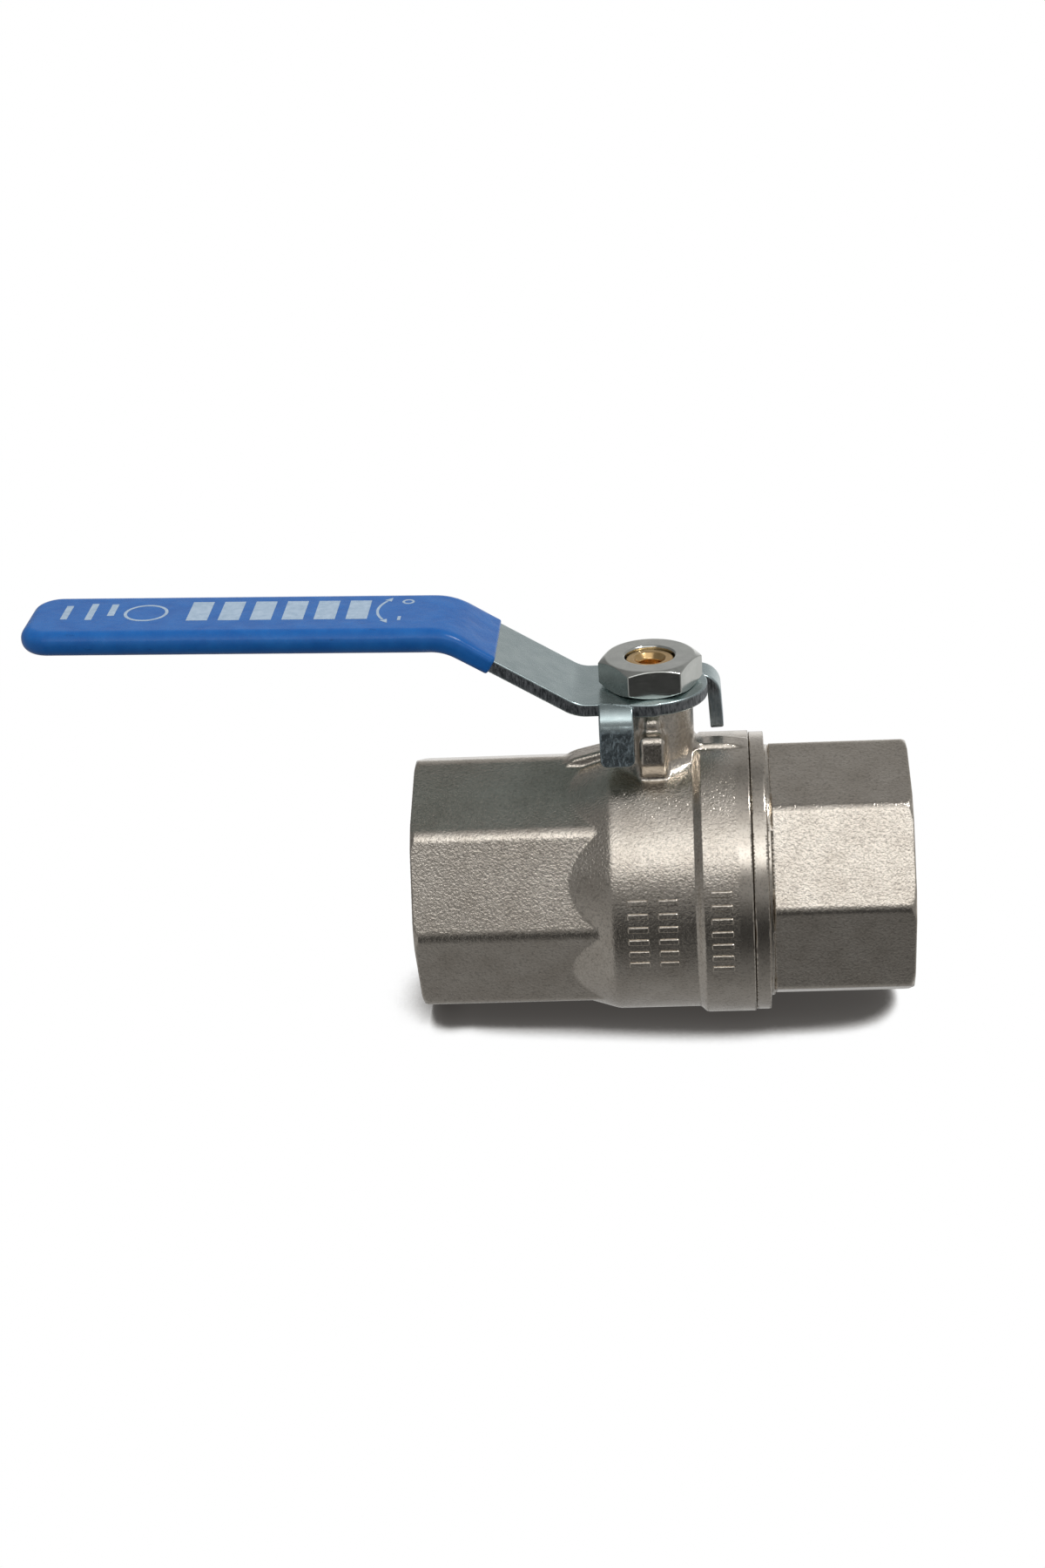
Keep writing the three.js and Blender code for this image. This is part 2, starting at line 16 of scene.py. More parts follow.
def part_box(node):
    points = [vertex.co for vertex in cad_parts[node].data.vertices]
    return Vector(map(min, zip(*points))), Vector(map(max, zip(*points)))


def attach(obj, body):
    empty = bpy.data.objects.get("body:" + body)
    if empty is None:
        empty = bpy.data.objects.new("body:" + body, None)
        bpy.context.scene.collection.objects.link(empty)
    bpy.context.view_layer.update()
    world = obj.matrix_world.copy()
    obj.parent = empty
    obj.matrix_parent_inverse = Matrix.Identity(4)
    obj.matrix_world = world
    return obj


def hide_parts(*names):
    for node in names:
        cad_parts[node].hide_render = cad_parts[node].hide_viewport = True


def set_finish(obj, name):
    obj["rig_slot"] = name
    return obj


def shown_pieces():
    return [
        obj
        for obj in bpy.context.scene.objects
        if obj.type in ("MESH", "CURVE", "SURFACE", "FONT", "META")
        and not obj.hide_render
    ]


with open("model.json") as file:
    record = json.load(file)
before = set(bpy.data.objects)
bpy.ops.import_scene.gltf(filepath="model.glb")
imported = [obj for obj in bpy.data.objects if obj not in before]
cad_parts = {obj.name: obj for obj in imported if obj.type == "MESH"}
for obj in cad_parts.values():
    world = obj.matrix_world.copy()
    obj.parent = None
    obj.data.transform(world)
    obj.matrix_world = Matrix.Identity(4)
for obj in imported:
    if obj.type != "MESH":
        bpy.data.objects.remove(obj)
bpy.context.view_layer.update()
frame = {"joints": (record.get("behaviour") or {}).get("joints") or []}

MM = 0.001

# ---------------------------------------------------------------- sizes, in millimetres

hinge = next(j for j in frame["joints"] if j["name"] == "ball_turn")
BALL_CENTRE = Vector(hinge["pos_m"])


def low_corner(node):
    return (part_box(node)[0] - BALL_CENTRE) / MM


def high_corner(node):
    return (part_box(node)[1] - BALL_CENTRE) / MM


BALL_R = 20.3
PORT_R = 15.5

THREAD_MINOR_R = 19.476
THREAD_HEIGHT = 1.479
THREAD_PITCH = 2.309
THREAD_DEPTH = 19.0
THREAD_MOUTH_R = 21.5

OCTAGON_FLATS = 47.0
BODY_CORNER_R = 3.5
CAP_CORNER_R = 2.4
CAP_CLOCKING = math.radians(7.95)
END_RIM_R = 24.5

BODY_END_X = low_corner("body").x
CAP_END_X = high_corner("end_cap").x
SEAM_X = high_corner("body").x
CAP_INNER_X = low_corner("end_cap").x
BARREL_START_X = -19.5
BULGE_R = 25.95
CONE_SLOPE = 0.305
CONE_END_X = -8.3
COLLAR_R = 27.08
COLLAR_STEP_X = 7.1
COLLAR_STEP_LENGTH = 1.7
FLANGE_R = 26.8
FLANGE_X = (18.0, 20.8)
CAP_OCTAGON_X = 21.6
UNDERCUT_R = 24.2

PORT_INNER_X = 9
SEAT_POCKET_R = 19.6
SEAT_POCKET_X = (8.0, 17.0)
CAVITY_R = 21.6
CAVITY_X = (-10.4, 7.4)
JOINT_BORE_R = 23.2
SPIGOT_R = 23.05

SEAT_INNER_R = 15.6
SEAT_OUTER_R = 19.4
SEAT_X = (11.0, 16.8)
SLOT_HALF_WIDTH = 3.0
SLOT_FLOOR_Z = 16.6

NECK_R = 7.75
NECK_TOP_Z = 37.2
STEM_R = 4.95
STEM_BORE_R = 5.15
STEM_POCKET_R = 7.1
STEM_POCKET_Z = 24.25

WASHER_R = (5.15, 6.7)
WASHER_Z = (23.1, 24.15)
SEAL_R = (21.7, 23.1)
SEAL_X = (7.5, 9.0)

STEM_COLLAR_R = 6.8
STEM_COLLAR_Z = (21.0, 23.0)
STEM_TANG_Z = 16.9
TANG_SIZE = (5.6, 11.0)
STEM_SHOULDER_Z = 37.34
STEM_FLATS = 7.5
STUD_R = 4.5
RECESS_R = 2.1
RECESS_DEPTH = 3.0
GROOVE_R = 3.5
O_RING_Z = (27.5, 31.0)
O_RING_R = 4.35
O_RING_SECTION_R = 0.72

LUG_HALF_WIDTH = 2.42
LUG_FRONT = 12.3
LUG_BLOCK_Z = (28.3, 33.7)
LUG_FOOT_RISE = 4.1
LUG_FOOT_REACH = 3.2
LUG_FOOT_SLANT = 5.2
WEB_HALF_WIDTH = 1.8
WEB_FRONT = 9.4
LUG_TOP_Z = 36.8
RIB_HALF_WIDTH = 2.3
RIB_RIGHT_TOP_Z = 27.84
RIB_RIGHT_BEVEL_X = 16.0
RIB_RIGHT_END_X = 17.5
RIB_LEFT_TOP = ((-14.8, 25.9), (-10.0, 27.1))

# Raised bars. A column is its station, its width, where it starts round the barrel, and how many bars.
CAST_PITCH = 2.6
CAST_STROKE = 1.25
CAST_RISE = 0.3
CAST_COLUMNS = ((-3.6, 4.0, 7.6, 6), (2.0, 3.8, 7.6, 6), (12.0, 4.2, 9.4, 7))

PLATE = 2.5
HUB_TOP_Z = 39.94
HUB_R = 10.6
STRIP_WIDTH = 19.6
STRIP_STEP = 0.6
LEVER_BEND_X = -13.6
LEVER_BEND_R = 7
LEVER_TOP_X = -37.2
LEVER_TOP_Z = 53.33
LEVER_TOP_R = 11
LEVER_END_X = -114.5
LEVER_END_Z = 55.61
TAB_WIDTH = 6.4
TAB_OFFSET = 6.4
TAB_FACE = 13.4
TAB_LEAN = 0.5
TAB_BOTTOM_Z = 28.5
TAB_BEND_R = 2.9

GRIP_MOUTH_X = -29.0
GRIP_MOUTH_Z = 48.24
GRIP_END_X = low_corner("lever_grip").x
GRIP_WIDTH = 21.0
GRIP_THICKNESS = 4.8

NUT_FLATS = 17.0
NUT_CHAMFER_R = 8.3
NUT_BORE_R = 4.7
NUT_TOP_Z = high_corner("lever_nut").z
NUT_BOTTOM_Z = low_corner("lever_nut").z
NUT_CLOCKING = math.radians(6.2)
STEM_TOP_Z = high_corner("stem").z


# ---------------------------------------------------------------- distance fields


def length(a, b):
    return np.sqrt(a * a + b * b)


def slab(value, low, high):
    """Distance to the space between two parallel planes."""
    return np.abs(value - 0.5 * (low + high)) - 0.5 * (high - low)


def join(a, b, fillet=0.0):
    """Union; the inner corner gets a fillet of this radius."""
    if fillet <= 0:
        return np.minimum(a, b)
    u = np.maximum(fillet - a, 0)
    v = np.maximum(fillet - b, 0)
    return np.maximum(fillet, np.minimum(a, b)) - length(u, v)


def common(a, b, rounding=0.0):
    """Intersection; the outer corner is rounded to this radius."""
    if rounding <= 0:
        return np.maximum(a, b)
    u = np.maximum(rounding + a, 0)
    v = np.maximum(rounding + b, 0)
    return np.minimum(-rounding, np.maximum(a, b)) + length(u, v)


def cut(a, b, rounding=0.0):
    return common(a, -b, rounding)


def ease(t):
    t = np.clip(t, 0, 1)
    return t * t * (3 - 2 * t)


def polygon_field(a, b, sides, flats, corner, clocking):
    """A regular polygon with rounded corners in the (a, b) plane; one flat faces `clocking`."""
    half = math.pi / sides
    angle = np.arctan2(b, a) - clocking + half
    angle = np.mod(angle, 2 * half) - half
    radius = length(a, b)
    inner = flats / 2 - corner
    across = radius * np.cos(angle) - inner
    along = np.abs(radius * np.sin(angle)) - inner * math.tan(half)
    outside = length(across, np.maximum(along, 0))
    return np.where(across > 0, outside, across) - corner


def revolved(radius, station, outline):
    """A turned body whose radius is given as a function of the station."""
    step = 0.02
    slope = (outline(station + step) - outline(station - step)) / (2 * step)
    return (radius - outline(station)) / np.sqrt(1 + slope * slope)


def thread_field(x, y, z):
    """The hollow of a right-hand G 1 1/4 internal thread, without its ends."""
    phase = x / THREAD_PITCH - np.arctan2(z, y) / (2 * math.pi)
    depth_in = np.minimum(np.abs(x - BODY_END_X), np.abs(x - CAP_END_X))
    height = THREAD_HEIGHT * ease((THREAD_DEPTH - 0.8 - depth_in) / 2.5)
    wave = 0.5 - 0.5 * np.cos(2 * math.pi * phase)
    slope = height * math.pi / THREAD_PITCH * np.sin(2 * math.pi * phase)
    return (length(y, z) - THREAD_MINOR_R - height * wave) / np.sqrt(1 + slope * slope)


# Hollows start this far before an end face, so that they cut it cleanly.
OUTSIDE = -9


def port_field(x, y, z, face_x, side):
    """Everything hollow from a port face to the seat pocket; side is -1 or +1 along X."""
    radius = length(y, z)
    inward = side * (face_x - x)
    threaded = common(thread_field(x, y, z), slab(inward, OUTSIDE, THREAD_DEPTH))
    mouth = (radius - THREAD_MOUTH_R + inward) * math.sqrt(0.5)
    mouth = common(mouth, slab(inward, OUTSIDE, THREAD_DEPTH))
    shoulder = (radius - THREAD_MINOR_R + (inward - THREAD_DEPTH)) * math.sqrt(0.5)
    shoulder = common(shoulder, slab(inward, THREAD_DEPTH - 1.5, THREAD_DEPTH + 4))
    bore = common(radius - PORT_R, slab(inward, OUTSIDE, side * (face_x - side * PORT_INNER_X)))
    pocket = common(radius - SEAT_POCKET_R, slab(side * x, *SEAT_POCKET_X), 0.3)
    hollow = join(threaded, mouth)
    hollow = join(hollow, shoulder, 0.3)
    hollow = join(hollow, bore, 0.4)
    return join(hollow, pocket, 0.25)


def octagon_end(x, y, z, end_x, inner_x, corner, clocking):
    """A wrench octagon with a small turned chamfer on its free end."""
    side = math.copysign(1, end_x)
    low, high = sorted((end_x, inner_x))
    prism = polygon_field(y, z, 8, OCTAGON_FLATS, corner, clocking)
    prism = common(prism, slab(x, low, high), 0.3)
    chamfer = (length(y, z) - END_RIM_R - side * (end_x - x)) * math.sqrt(0.5)
    return common(prism, chamfer, 0.3)


def body_outline(x):
    before = 0.25 * np.logaddexp(0, (CONE_END_X - x) / 0.25)
    cone = BULGE_R - CONE_SLOPE * before
    step = ease((x - COLLAR_STEP_X) / COLLAR_STEP_LENGTH)
    return cone + (COLLAR_R - BULGE_R) * step


def lug_field(x, y, z):
    """Both stop lugs: a block on a sloping foot, with a narrower web up to the hub."""
    out = np.abs(y)
    low, high = LUG_BLOCK_Z
    block = common(np.abs(x) - LUG_HALF_WIDTH, out - LUG_FRONT, 0.9)
    foot = ((out - LUG_FRONT) * LUG_FOOT_RISE - (z - low) * LUG_FOOT_REACH) / LUG_FOOT_SLANT
    block = common(common(block, foot, 0.5), z - high, 1.5)
    web = common(np.abs(x) - WEB_HALF_WIDTH, out - WEB_FRONT, 1.2)
    web = common(web, z - LUG_TOP_Z, 2.2)
    return join(block, web, 0.7)


def rib_field(x, y, z):
    """The ribs on the forging's parting line, from the neck along the top of the body."""
    (far_x, far_z), (near_x, near_z) = RIB_LEFT_TOP
    slope = (near_z - far_z) / (near_x - far_x)
    left_top = (z - near_z - slope * (x - near_x)) / math.hypot(1, slope)
    left_top = common(left_top, (far_x - 0.6 - x) * 0.6 + (z - far_z) * 0.8, 0.5)
    over = z - RIB_RIGHT_TOP_Z
    right_top = common(over, (x - RIB_RIGHT_BEVEL_X) * 0.45 + over * 0.89, 1.5)
    right_top = common(right_top, x - RIB_RIGHT_END_X, 0.3)
    top = np.where(x < 0, left_top, right_top)
    flank = np.abs(y) - RIB_HALF_WIDTH - 0.1 * np.maximum(RIB_RIGHT_TOP_Z - z, 0)
    return common(flank, top, 0.75)


def body_field(x, y, z):
    radius = length(y, z)
    solid = octagon_end(x, y, z, BODY_END_X, -6.0, BODY_CORNER_R, math.pi / 8)
    barrel = revolved(radius, x, body_outline)
    barrel = common(barrel, slab(x, BARREL_START_X, SEAM_X + 0.1), 0.2)
    solid = join(solid, barrel, 0.12)
    solid = join(solid, common(rib_field(x, y, z), 15 - z), 0.45)
    neck = common(length(x, y) - NECK_R, z - NECK_TOP_Z, 0.5)
    solid = join(solid, common(neck, 15 - z), 2.0)
    solid = join(solid, common(lug_field(x, y, z), 15 - z), 0.9)
    hollow = port_field(x, y, z, BODY_END_X, -1)
    cavity = common(radius - CAVITY_R, slab(x, CAVITY_X[0], CAVITY_X[1] + 1), 1.5)
    joint = common(radius - JOINT_BORE_R, slab(x, CAVITY_X[1], SEAM_X + 5))
    stem_pocket = common(length(x, y) - STEM_POCKET_R, slab(z, 0, STEM_POCKET_Z), 0.2)
    stem_bore = common(length(x, y) - STEM_BORE_R, slab(z, 0, NECK_TOP_Z + 5))
    hollow = join(join(hollow, cavity), joint)
    hollow = join(join(hollow, stem_pocket, 0.2), stem_bore)
    return cut(solid, hollow, 0.25)


def cast_bars_field(x, y, z):
    """Columns of plain raised bars on the front of the barrel, one column per station."""
    radius = length(y, z)
    surface = body_outline(x)
    around = surface * np.arctan2(z, -y)
    bars = 9.0
    for station, wide, first, count in CAST_COLUMNS:
        rows = slab(around, first - count * CAST_PITCH, first)
        column = common(np.abs(x - station) - wide / 2, rows, 0.3)
        stroke = np.abs(np.mod(first - around, CAST_PITCH) - CAST_PITCH / 2) - CAST_STROKE / 2
        bars = join(bars, common(column, stroke, 0.3))
    return common(bars, slab(radius, surface - 0.4, surface + CAST_RISE), 0.25)


def cap_field(x, y, z):
    radius = length(y, z)
    clocking = math.pi / 8 - CAP_CLOCKING
    solid = octagon_end(x, y, z, CAP_END_X, CAP_OCTAGON_X, CAP_CORNER_R, clocking)
    spigot = common(radius - SPIGOT_R, slab(x, CAP_INNER_X, FLANGE_X[0] + 1), 0.4)
    flange = common(radius - FLANGE_R, slab(x, *FLANGE_X), 0.2)
    core = common(radius - UNDERCUT_R, slab(x, FLANGE_X[0] + 1, CAP_OCTAGON_X))
    solid = join(join(solid, core, 0.15), join(spigot, flange, 0.1), 0.2)
    return cut(solid, port_field(x, y, z, CAP_END_X, 1), 0.25)


def ball_field(x, y, z):
    sphere = np.sqrt(x * x + y * y + z * z) - BALL_R
    ball = cut(sphere, length(y, z) - PORT_R, 0.9)
    return cut(ball, common(np.abs(x) - SLOT_HALF_WIDTH, SLOT_FLOOR_Z - z), 0.3)


def seat_field(side):
    def field(x, y, z):
        radius = length(y, z)
        ring = common(slab(radius, SEAT_INNER_R, SEAT_OUTER_R), slab(side * x, *SEAT_X), 0.3)
        sphere = np.sqrt(x * x + y * y + z * z) - BALL_R - 0.15
        return cut(ring, sphere, 0.15)

    return field


def ring_field(axial, inner, outer, low, high, rounding):
    """A ring of rectangular section about X or Z."""

    def field(x, y, z):
        radius = length(y, z) if axial == "x" else length(x, y)
        station = x if axial == "x" else z
        return common(slab(radius, inner, outer), slab(station, low, high), rounding)

    return field


def o_ring_field(height):
    def field(x, y, z):
        return length(length(x, y) - O_RING_R, z - height) - O_RING_SECTION_R

    return field


def stem_field(x, y, z):
    radius = length(x, y)
    collar = common(radius - STEM_COLLAR_R, slab(z, *STEM_COLLAR_Z), 0.2)
    shaft = common(radius - STEM_R, slab(z, STEM_COLLAR_Z[0] + 0.5, STEM_SHOULDER_Z), 0.15)
    for height in O_RING_Z:
        groove = common(GROOVE_R - radius, slab(z, height - 1, height + 1), 0.15)
        shaft = cut(shaft, groove, 0.1)
    key = common(radius - STEM_R, np.abs(x) - STEM_FLATS / 2, 0.2)
    key = common(key, slab(z, STEM_SHOULDER_Z - 1, HUB_TOP_Z + 0.6), 0.2)
    end = common(radius - STUD_R, slab(z, STEM_SHOULDER_Z, STEM_TOP_Z), 0.35)
    tang = common(np.abs(x) - TANG_SIZE[0] / 2, np.abs(y) - TANG_SIZE[1] / 2, 0.4)
    tang = common(tang, slab(z, STEM_TANG_Z, STEM_COLLAR_Z[0] + 0.5), 0.3)
    stem = join(join(collar, tang), join(shaft, key))
    stem = join(stem, end)
    recess = common(radius - RECESS_R, STEM_TOP_Z - RECESS_DEPTH - z)
    funnel = (radius - RECESS_R - 0.9 + (STEM_TOP_Z - z) * 0.9) * 0.74
    return cut(stem, join(recess, common(funnel, STEM_TOP_Z - 2 - z), 0.15), 0.12)


# ---------------------------------------------------------------- bent plate


def trace(vertices):
    """Straight runs and arcs along a bent line, from its (a, b, bend radius) corner points."""
    points = [np.array(v[:2], float) for v in vertices]
    pieces = []
    start = points[0]
    travelled = 0.0
    for i in range(1, len(points)):
        into = points[i] - points[i - 1]
        into /= np.linalg.norm(into)
        bend = vertices[i][2]
        if bend == 0:
            pieces.append(("run", start, into, travelled, np.linalg.norm(points[i] - start)))
            travelled += np.linalg.norm(points[i] - start)
            continue
        out = points[i + 1] - points[i]
        out /= np.linalg.norm(out)
        turn = math.atan2(into[0] * out[1] - into[1] * out[0], into @ out)
        side = math.copysign(1, turn)
        tangent = bend * math.tan(abs(turn) / 2)
        run = np.linalg.norm(points[i] - into * tangent - start)
        pieces.append(("run", start, into, travelled, run))
        travelled += run
        left = np.array([-into[1], into[0]])
        centre = points[i] - into * tangent + left * side * bend
        pieces.append(("arc", centre, -left * side, travelled, bend, side, abs(turn)))
        travelled += bend * abs(turn)
        start = points[i] + out * tangent
    return pieces, travelled


def along_path(pieces, a, b):
    """(distance along, height to the left) of points near a traced line."""
    best = along = height = None
    for number, piece in enumerate(pieces):
        if piece[0] == "run":
            _, start, way, travelled, run = piece
            da, db = a - start[0], b - start[1]
            far = da * way[0] + db * way[1]
            off = db * way[0] - da * way[1]
            before = 0 if number == 0 else np.maximum(-far, 0)
            after = 0 if number == len(pieces) - 1 else np.maximum(far - run, 0)
            miss = before + after
        else:
            _, centre, spoke, travelled, bend, side, turn = piece
            da, db = a - centre[0], b - centre[1]
            angle = side * np.arctan2(spoke[0] * db - spoke[1] * da, spoke[0] * da + spoke[1] * db)
            far = bend * angle
            off = side * (bend - length(da, db))
            miss = bend * (np.maximum(-angle, 0) + np.maximum(angle - turn, 0))
        reach = off * off + miss * miss
        if best is None:
            best, along, height = reach, travelled + far, off
        else:
            nearer = reach < best
            best = np.where(nearer, reach, best)
            along = np.where(nearer, travelled + far, along)
            height = np.where(nearer, off, height)
    return along, height


def lever_coordinates(x, z):
    """(distance from the stem along the lever, height above its middle plane)."""
    along, left = along_path(LEVER_PIECES, x, z)
    return along, -left


def tab_field(across, out, z):
    """One stop tab: across is measured from its middle, out from the stem axis."""
    along, left = along_path(TAB_PIECES, out, z)
    plan = common(np.abs(across) - TAB_WIDTH / 2, along - TAB_LENGTH, 1.3)
    plan = common(plan, 6.2 - out)
    return common(plan, np.abs(left) - PLATE / 2, 0.32)


def lever_hammered_and_shaded(x, y, z):
    """1 on the stop tabs below their bends, where the press left the plate wavy and where shade is painted
    on.
    """
    return (HUB_TOP_Z - 3.2 - z) / 1.5


def strip_field(along, y):
    """The lever's strip in plan, a little narrower where the grip covers it."""
    covered = ease((along - GRIP_MOUTH) / 2.5)
    return common(np.abs(y) - STRIP_WIDTH / 2 + STRIP_STEP * covered, along - LEVER_LENGTH, 4.5)


def lever_parts(x, y, z):
    along, height = lever_coordinates(x, z)
    strip = common(strip_field(along, y), -along)
    hub = length(along, y) - HUB_R
    plan = join(strip, hub, 2.5)
    return plan, np.abs(height) - PLATE / 2


def lever_field(x, y, z):
    plan, thickness = lever_parts(x, y, z)
    front = tab_field(x + TAB_OFFSET, -y, z)
    side = tab_field(y - TAB_OFFSET, x, z)
    plate = join(common(plan, thickness, 0.32), join(front, side))
    hole = common(length(x, y) - STEM_R - 0.1, np.abs(x) - STEM_FLATS / 2 - 0.1, 0.2)
    return cut(plate, common(hole, slab(z, 30, 45)), 0.2)


def lever_sheared(x, y, z):
    """1 on the cut edges of the plate, 0 on its rolled faces."""
    _, thickness = lever_parts(x, y, z)
    _, front = along_path(TAB_PIECES, -y, z)
    _, side = along_path(TAB_PIECES, x, z)
    in_front = (y < -9.6) & (np.abs(x + TAB_OFFSET) < TAB_WIDTH / 2 + 0.1)
    in_side = (x > 9.6) & (np.abs(y - TAB_OFFSET) < TAB_WIDTH / 2 + 0.1)
    depth = np.where(in_front, np.abs(front) - PLATE / 2, thickness)
    depth = np.where(in_side, np.abs(side) - PLATE / 2, depth)
    return (-depth - 0.15) / 0.25


def grip_field(x, y, z):
    along, height = lever_coordinates(x, z)
    from_mouth = along - GRIP_MOUTH
    full = ease(from_mouth / 14)
    half = GRIP_MOUTH_HALF + (GRIP_THICKNESS / 2 - GRIP_MOUTH_HALF) * full
    plan = common(np.abs(y) - GRIP_WIDTH / 2, along - GRIP_LENGTH, 5.5)
    plump = common(plan, np.abs(height) - half, 2.3)
    thin = common(plan, np.abs(height) - half, 1.2)
    sleeve = thin + (plump - thin) * full
    sleeve = common(sleeve, -from_mouth, 0.45)
    blank = common(strip_field(along, y) - 0.05, np.abs(height) - PLATE / 2 - 0.05, 0.45)
    return cut(sleeve, blank, 0.1)


def nut_field(x, y, z):
    radius = length(x, y)
    hexagon = polygon_field(x, y, 6, NUT_FLATS, 0.35, NUT_CLOCKING - math.pi / 2)
    nut = common(hexagon, slab(z, NUT_BOTTOM_Z, NUT_TOP_Z), 0.12)
    middle = (NUT_BOTTOM_Z + NUT_TOP_Z) / 2
    from_face = (NUT_TOP_Z - NUT_BOTTOM_Z) / 2 - np.abs(z - middle)
    chamfer = (radius - NUT_CHAMFER_R) * 0.5 - from_face * 0.87
    nut = common(nut, chamfer, 0.12)
    bore = radius - NUT_BORE_R
    mouth = (radius - NUT_BORE_R - 0.25 + from_face) * 0.71
    return cut(nut, join(bore, mouth), 0.08)


MIDDLE_Z = HUB_TOP_Z - PLATE / 2
LEVER_PIECES, LEVER_LENGTH = trace(
    [
        (0, MIDDLE_Z, 0),
        (LEVER_BEND_X, MIDDLE_Z, LEVER_BEND_R),
        (LEVER_TOP_X, LEVER_TOP_Z, LEVER_TOP_R),
        (LEVER_END_X, LEVER_END_Z, 0),
    ]
)
GRIP_LENGTH = LEVER_LENGTH + (LEVER_END_X - GRIP_END_X)
GRIP_MOUTH = float(along_path(LEVER_PIECES, GRIP_MOUTH_X, GRIP_MOUTH_Z)[0])
GRIP_MOUTH_HALF = PLATE / 2 + 0.6
TAB_MIDDLE = TAB_FACE - PLATE / 2
TAB_PIECES, TAB_LENGTH = trace(
    [
        (6.0, MIDDLE_Z, 0),
        (TAB_MIDDLE - TAB_LEAN, MIDDLE_Z, TAB_BEND_R),
        (TAB_MIDDLE, TAB_BOTTOM_Z, 0),
    ]
)


# ---------------------------------------------------------------- quads from a field

GRID_BLOCK = 8
CORNERS = [(i, j, k) for i in (0, 1) for j in (0, 1) for k in (0, 1)]
EDGES = [(a, b) for a in range(8) for b in range(a + 1, 8) if bin(a ^ b).count("1") == 1]


def sample_field(field, low, counts, step):
    """Values of the field on a grid, worked out finely only in blocks near the surface.

    A block counts as near when the surface may be as close to its middle as its corners are,
    with 2.2 mm to spare because some fields read longer than the true distance.
    """
    centres = [low[i] + step * (GRID_BLOCK * (np.arange(counts[i]) + 0.5) - 0.5) for i in range(3)]
    coarse = field(*np.meshgrid(*centres, indexing="ij"))
    values = coarse.astype(np.float32)
    for axis in range(3):
        values = values.repeat(GRID_BLOCK, axis)
    near = np.argwhere(np.abs(coarse) < 0.87 * step * GRID_BLOCK + 2.2) * GRID_BLOCK
    offsets = np.arange(GRID_BLOCK)
    for start in range(0, len(near), 400):
        index = near[start : start + 400, :, None] + offsets
        ix = index[:, 0][:, :, None, None]
        iy = index[:, 1][:, None, :, None]
        iz = index[:, 2][:, None, None, :]
        values[ix, iy, iz] = field(low[0] + step * ix, low[1] + step * iy, low[2] + step * iz)
    return values


def surface_net(values, low, step):
    """One vertex per cell that the surface crosses, and one quad per crossed grid edge."""
    inside = values < 0
    shape = np.array(values.shape) - 1
    count = np.zeros(shape, np.int8)
    for i, j, k in CORNERS:
        count += inside[i : i + shape[0], j : j + shape[1], k : k + shape[2]]
    cells = np.argwhere((count > 0) & (count < 8))
    at_corner = np.stack(
        [values[cells[:, 0] + i, cells[:, 1] + j, cells[:, 2] + k] for i, j, k in CORNERS], 1
    ).astype(float)
    corner_points = np.array(CORNERS, float)
    total = np.zeros((len(cells), 3))
    crossings = np.zeros(len(cells))
    for a, b in EDGES:
        va, vb = at_corner[:, a], at_corner[:, b]
        crossed = (va < 0) != (vb < 0)
        share = np.where(crossed, va / np.where(crossed, va - vb, 1), 0)[:, None]
        point = corner_points[a] + share * (corner_points[b] - corner_points[a])
        total += np.where(crossed[:, None], point, 0)
        crossings += crossed
    points = np.array(low) + step * (cells + total / crossings[:, None])
    number = np.full(shape, -1, np.int32)
    number[cells[:, 0], cells[:, 1], cells[:, 2]] = np.arange(len(cells))
    quads = []
    for axis in range(3):
        near = [slice(None)] * 3
        far = [slice(None)] * 3
        near[axis] = slice(None, -1)
        far[axis] = slice(1, None)
        a, b = inside[tuple(near)], inside[tuple(far)]
        u, v = (axis + 1) % 3, (axis + 2) % 3
        edge = np.argwhere(a != b)
        edge = edge[(edge[:, u] > 0) & (edge[:, v] > 0)]
        edge = edge[(edge[:, u] < shape[u]) & (edge[:, v] < shape[v])]
        outward = a[edge[:, 0], edge[:, 1], edge[:, 2]]
        ring = []
        for du, dv in ((1, 1), (0, 1), (0, 0), (1, 0)):
            cell = edge.copy()
            cell[:, u] -= du
            cell[:, v] -= dv
            ring.append(number[cell[:, 0], cell[:, 1], cell[:, 2]])
        quad = np.stack(ring, 1)
        quad[~outward] = quad[~outward][:, ::-1]
        quads.append(quad)
    return points, np.concatenate(quads)


def gradient(field, points, reach=0.01):
    """The field's slope along X, Y and Z at each point."""
    x, y, z = points.T
    slope = np.stack(
        [
            field(x + reach, y, z) - field(x - reach, y, z),
            field(x, y + reach, z) - field(x, y - reach, z),
            field(x, y, z + reach) - field(x, y, z - reach),
        ],
        1,
    )
    slope /= 2 * reach
    return slope


def settle(field, points, step, rounds=3):
    """Moves points onto the field's zero surface."""
    for _ in range(rounds):
        slope = gradient(field, points)
        steep = np.maximum((slope * slope).sum(1), 0.2)
        move = slope * (-field(*points.T) / steep)[:, None]
        size = np.maximum(np.linalg.norm(move, axis=1), 1e-9)
        points = points + move * np.minimum(1, 0.5 * step / size)[:, None]
    return points


def even_out(field, points, quads, rounds=2):
    """Slides points along the surface towards the middle of their neighbours."""
    ends = np.concatenate([quads[:, [i, (i + 1) % 4]] for i in range(4)])
    a, b = ends[:, 0], ends[:, 1]
    links = np.bincount(a, minlength=len(points)) + np.bincount(b, minlength=len(points))
    for _ in range(rounds):
        middle = np.empty_like(points)
        for i in range(3):
            near_a = np.bincount(a, points[b, i], len(points))
            near_b = np.bincount(b, points[a, i], len(points))
            middle[:, i] = (near_a + near_b) / links
        slope = gradient(field, points)
        slope /= np.maximum(np.linalg.norm(slope, axis=1), 1e-6)[:, None]
        shift = middle - points
        shift -= slope * (shift * slope).sum(1)[:, None]
        points = points + 0.6 * shift
    return points


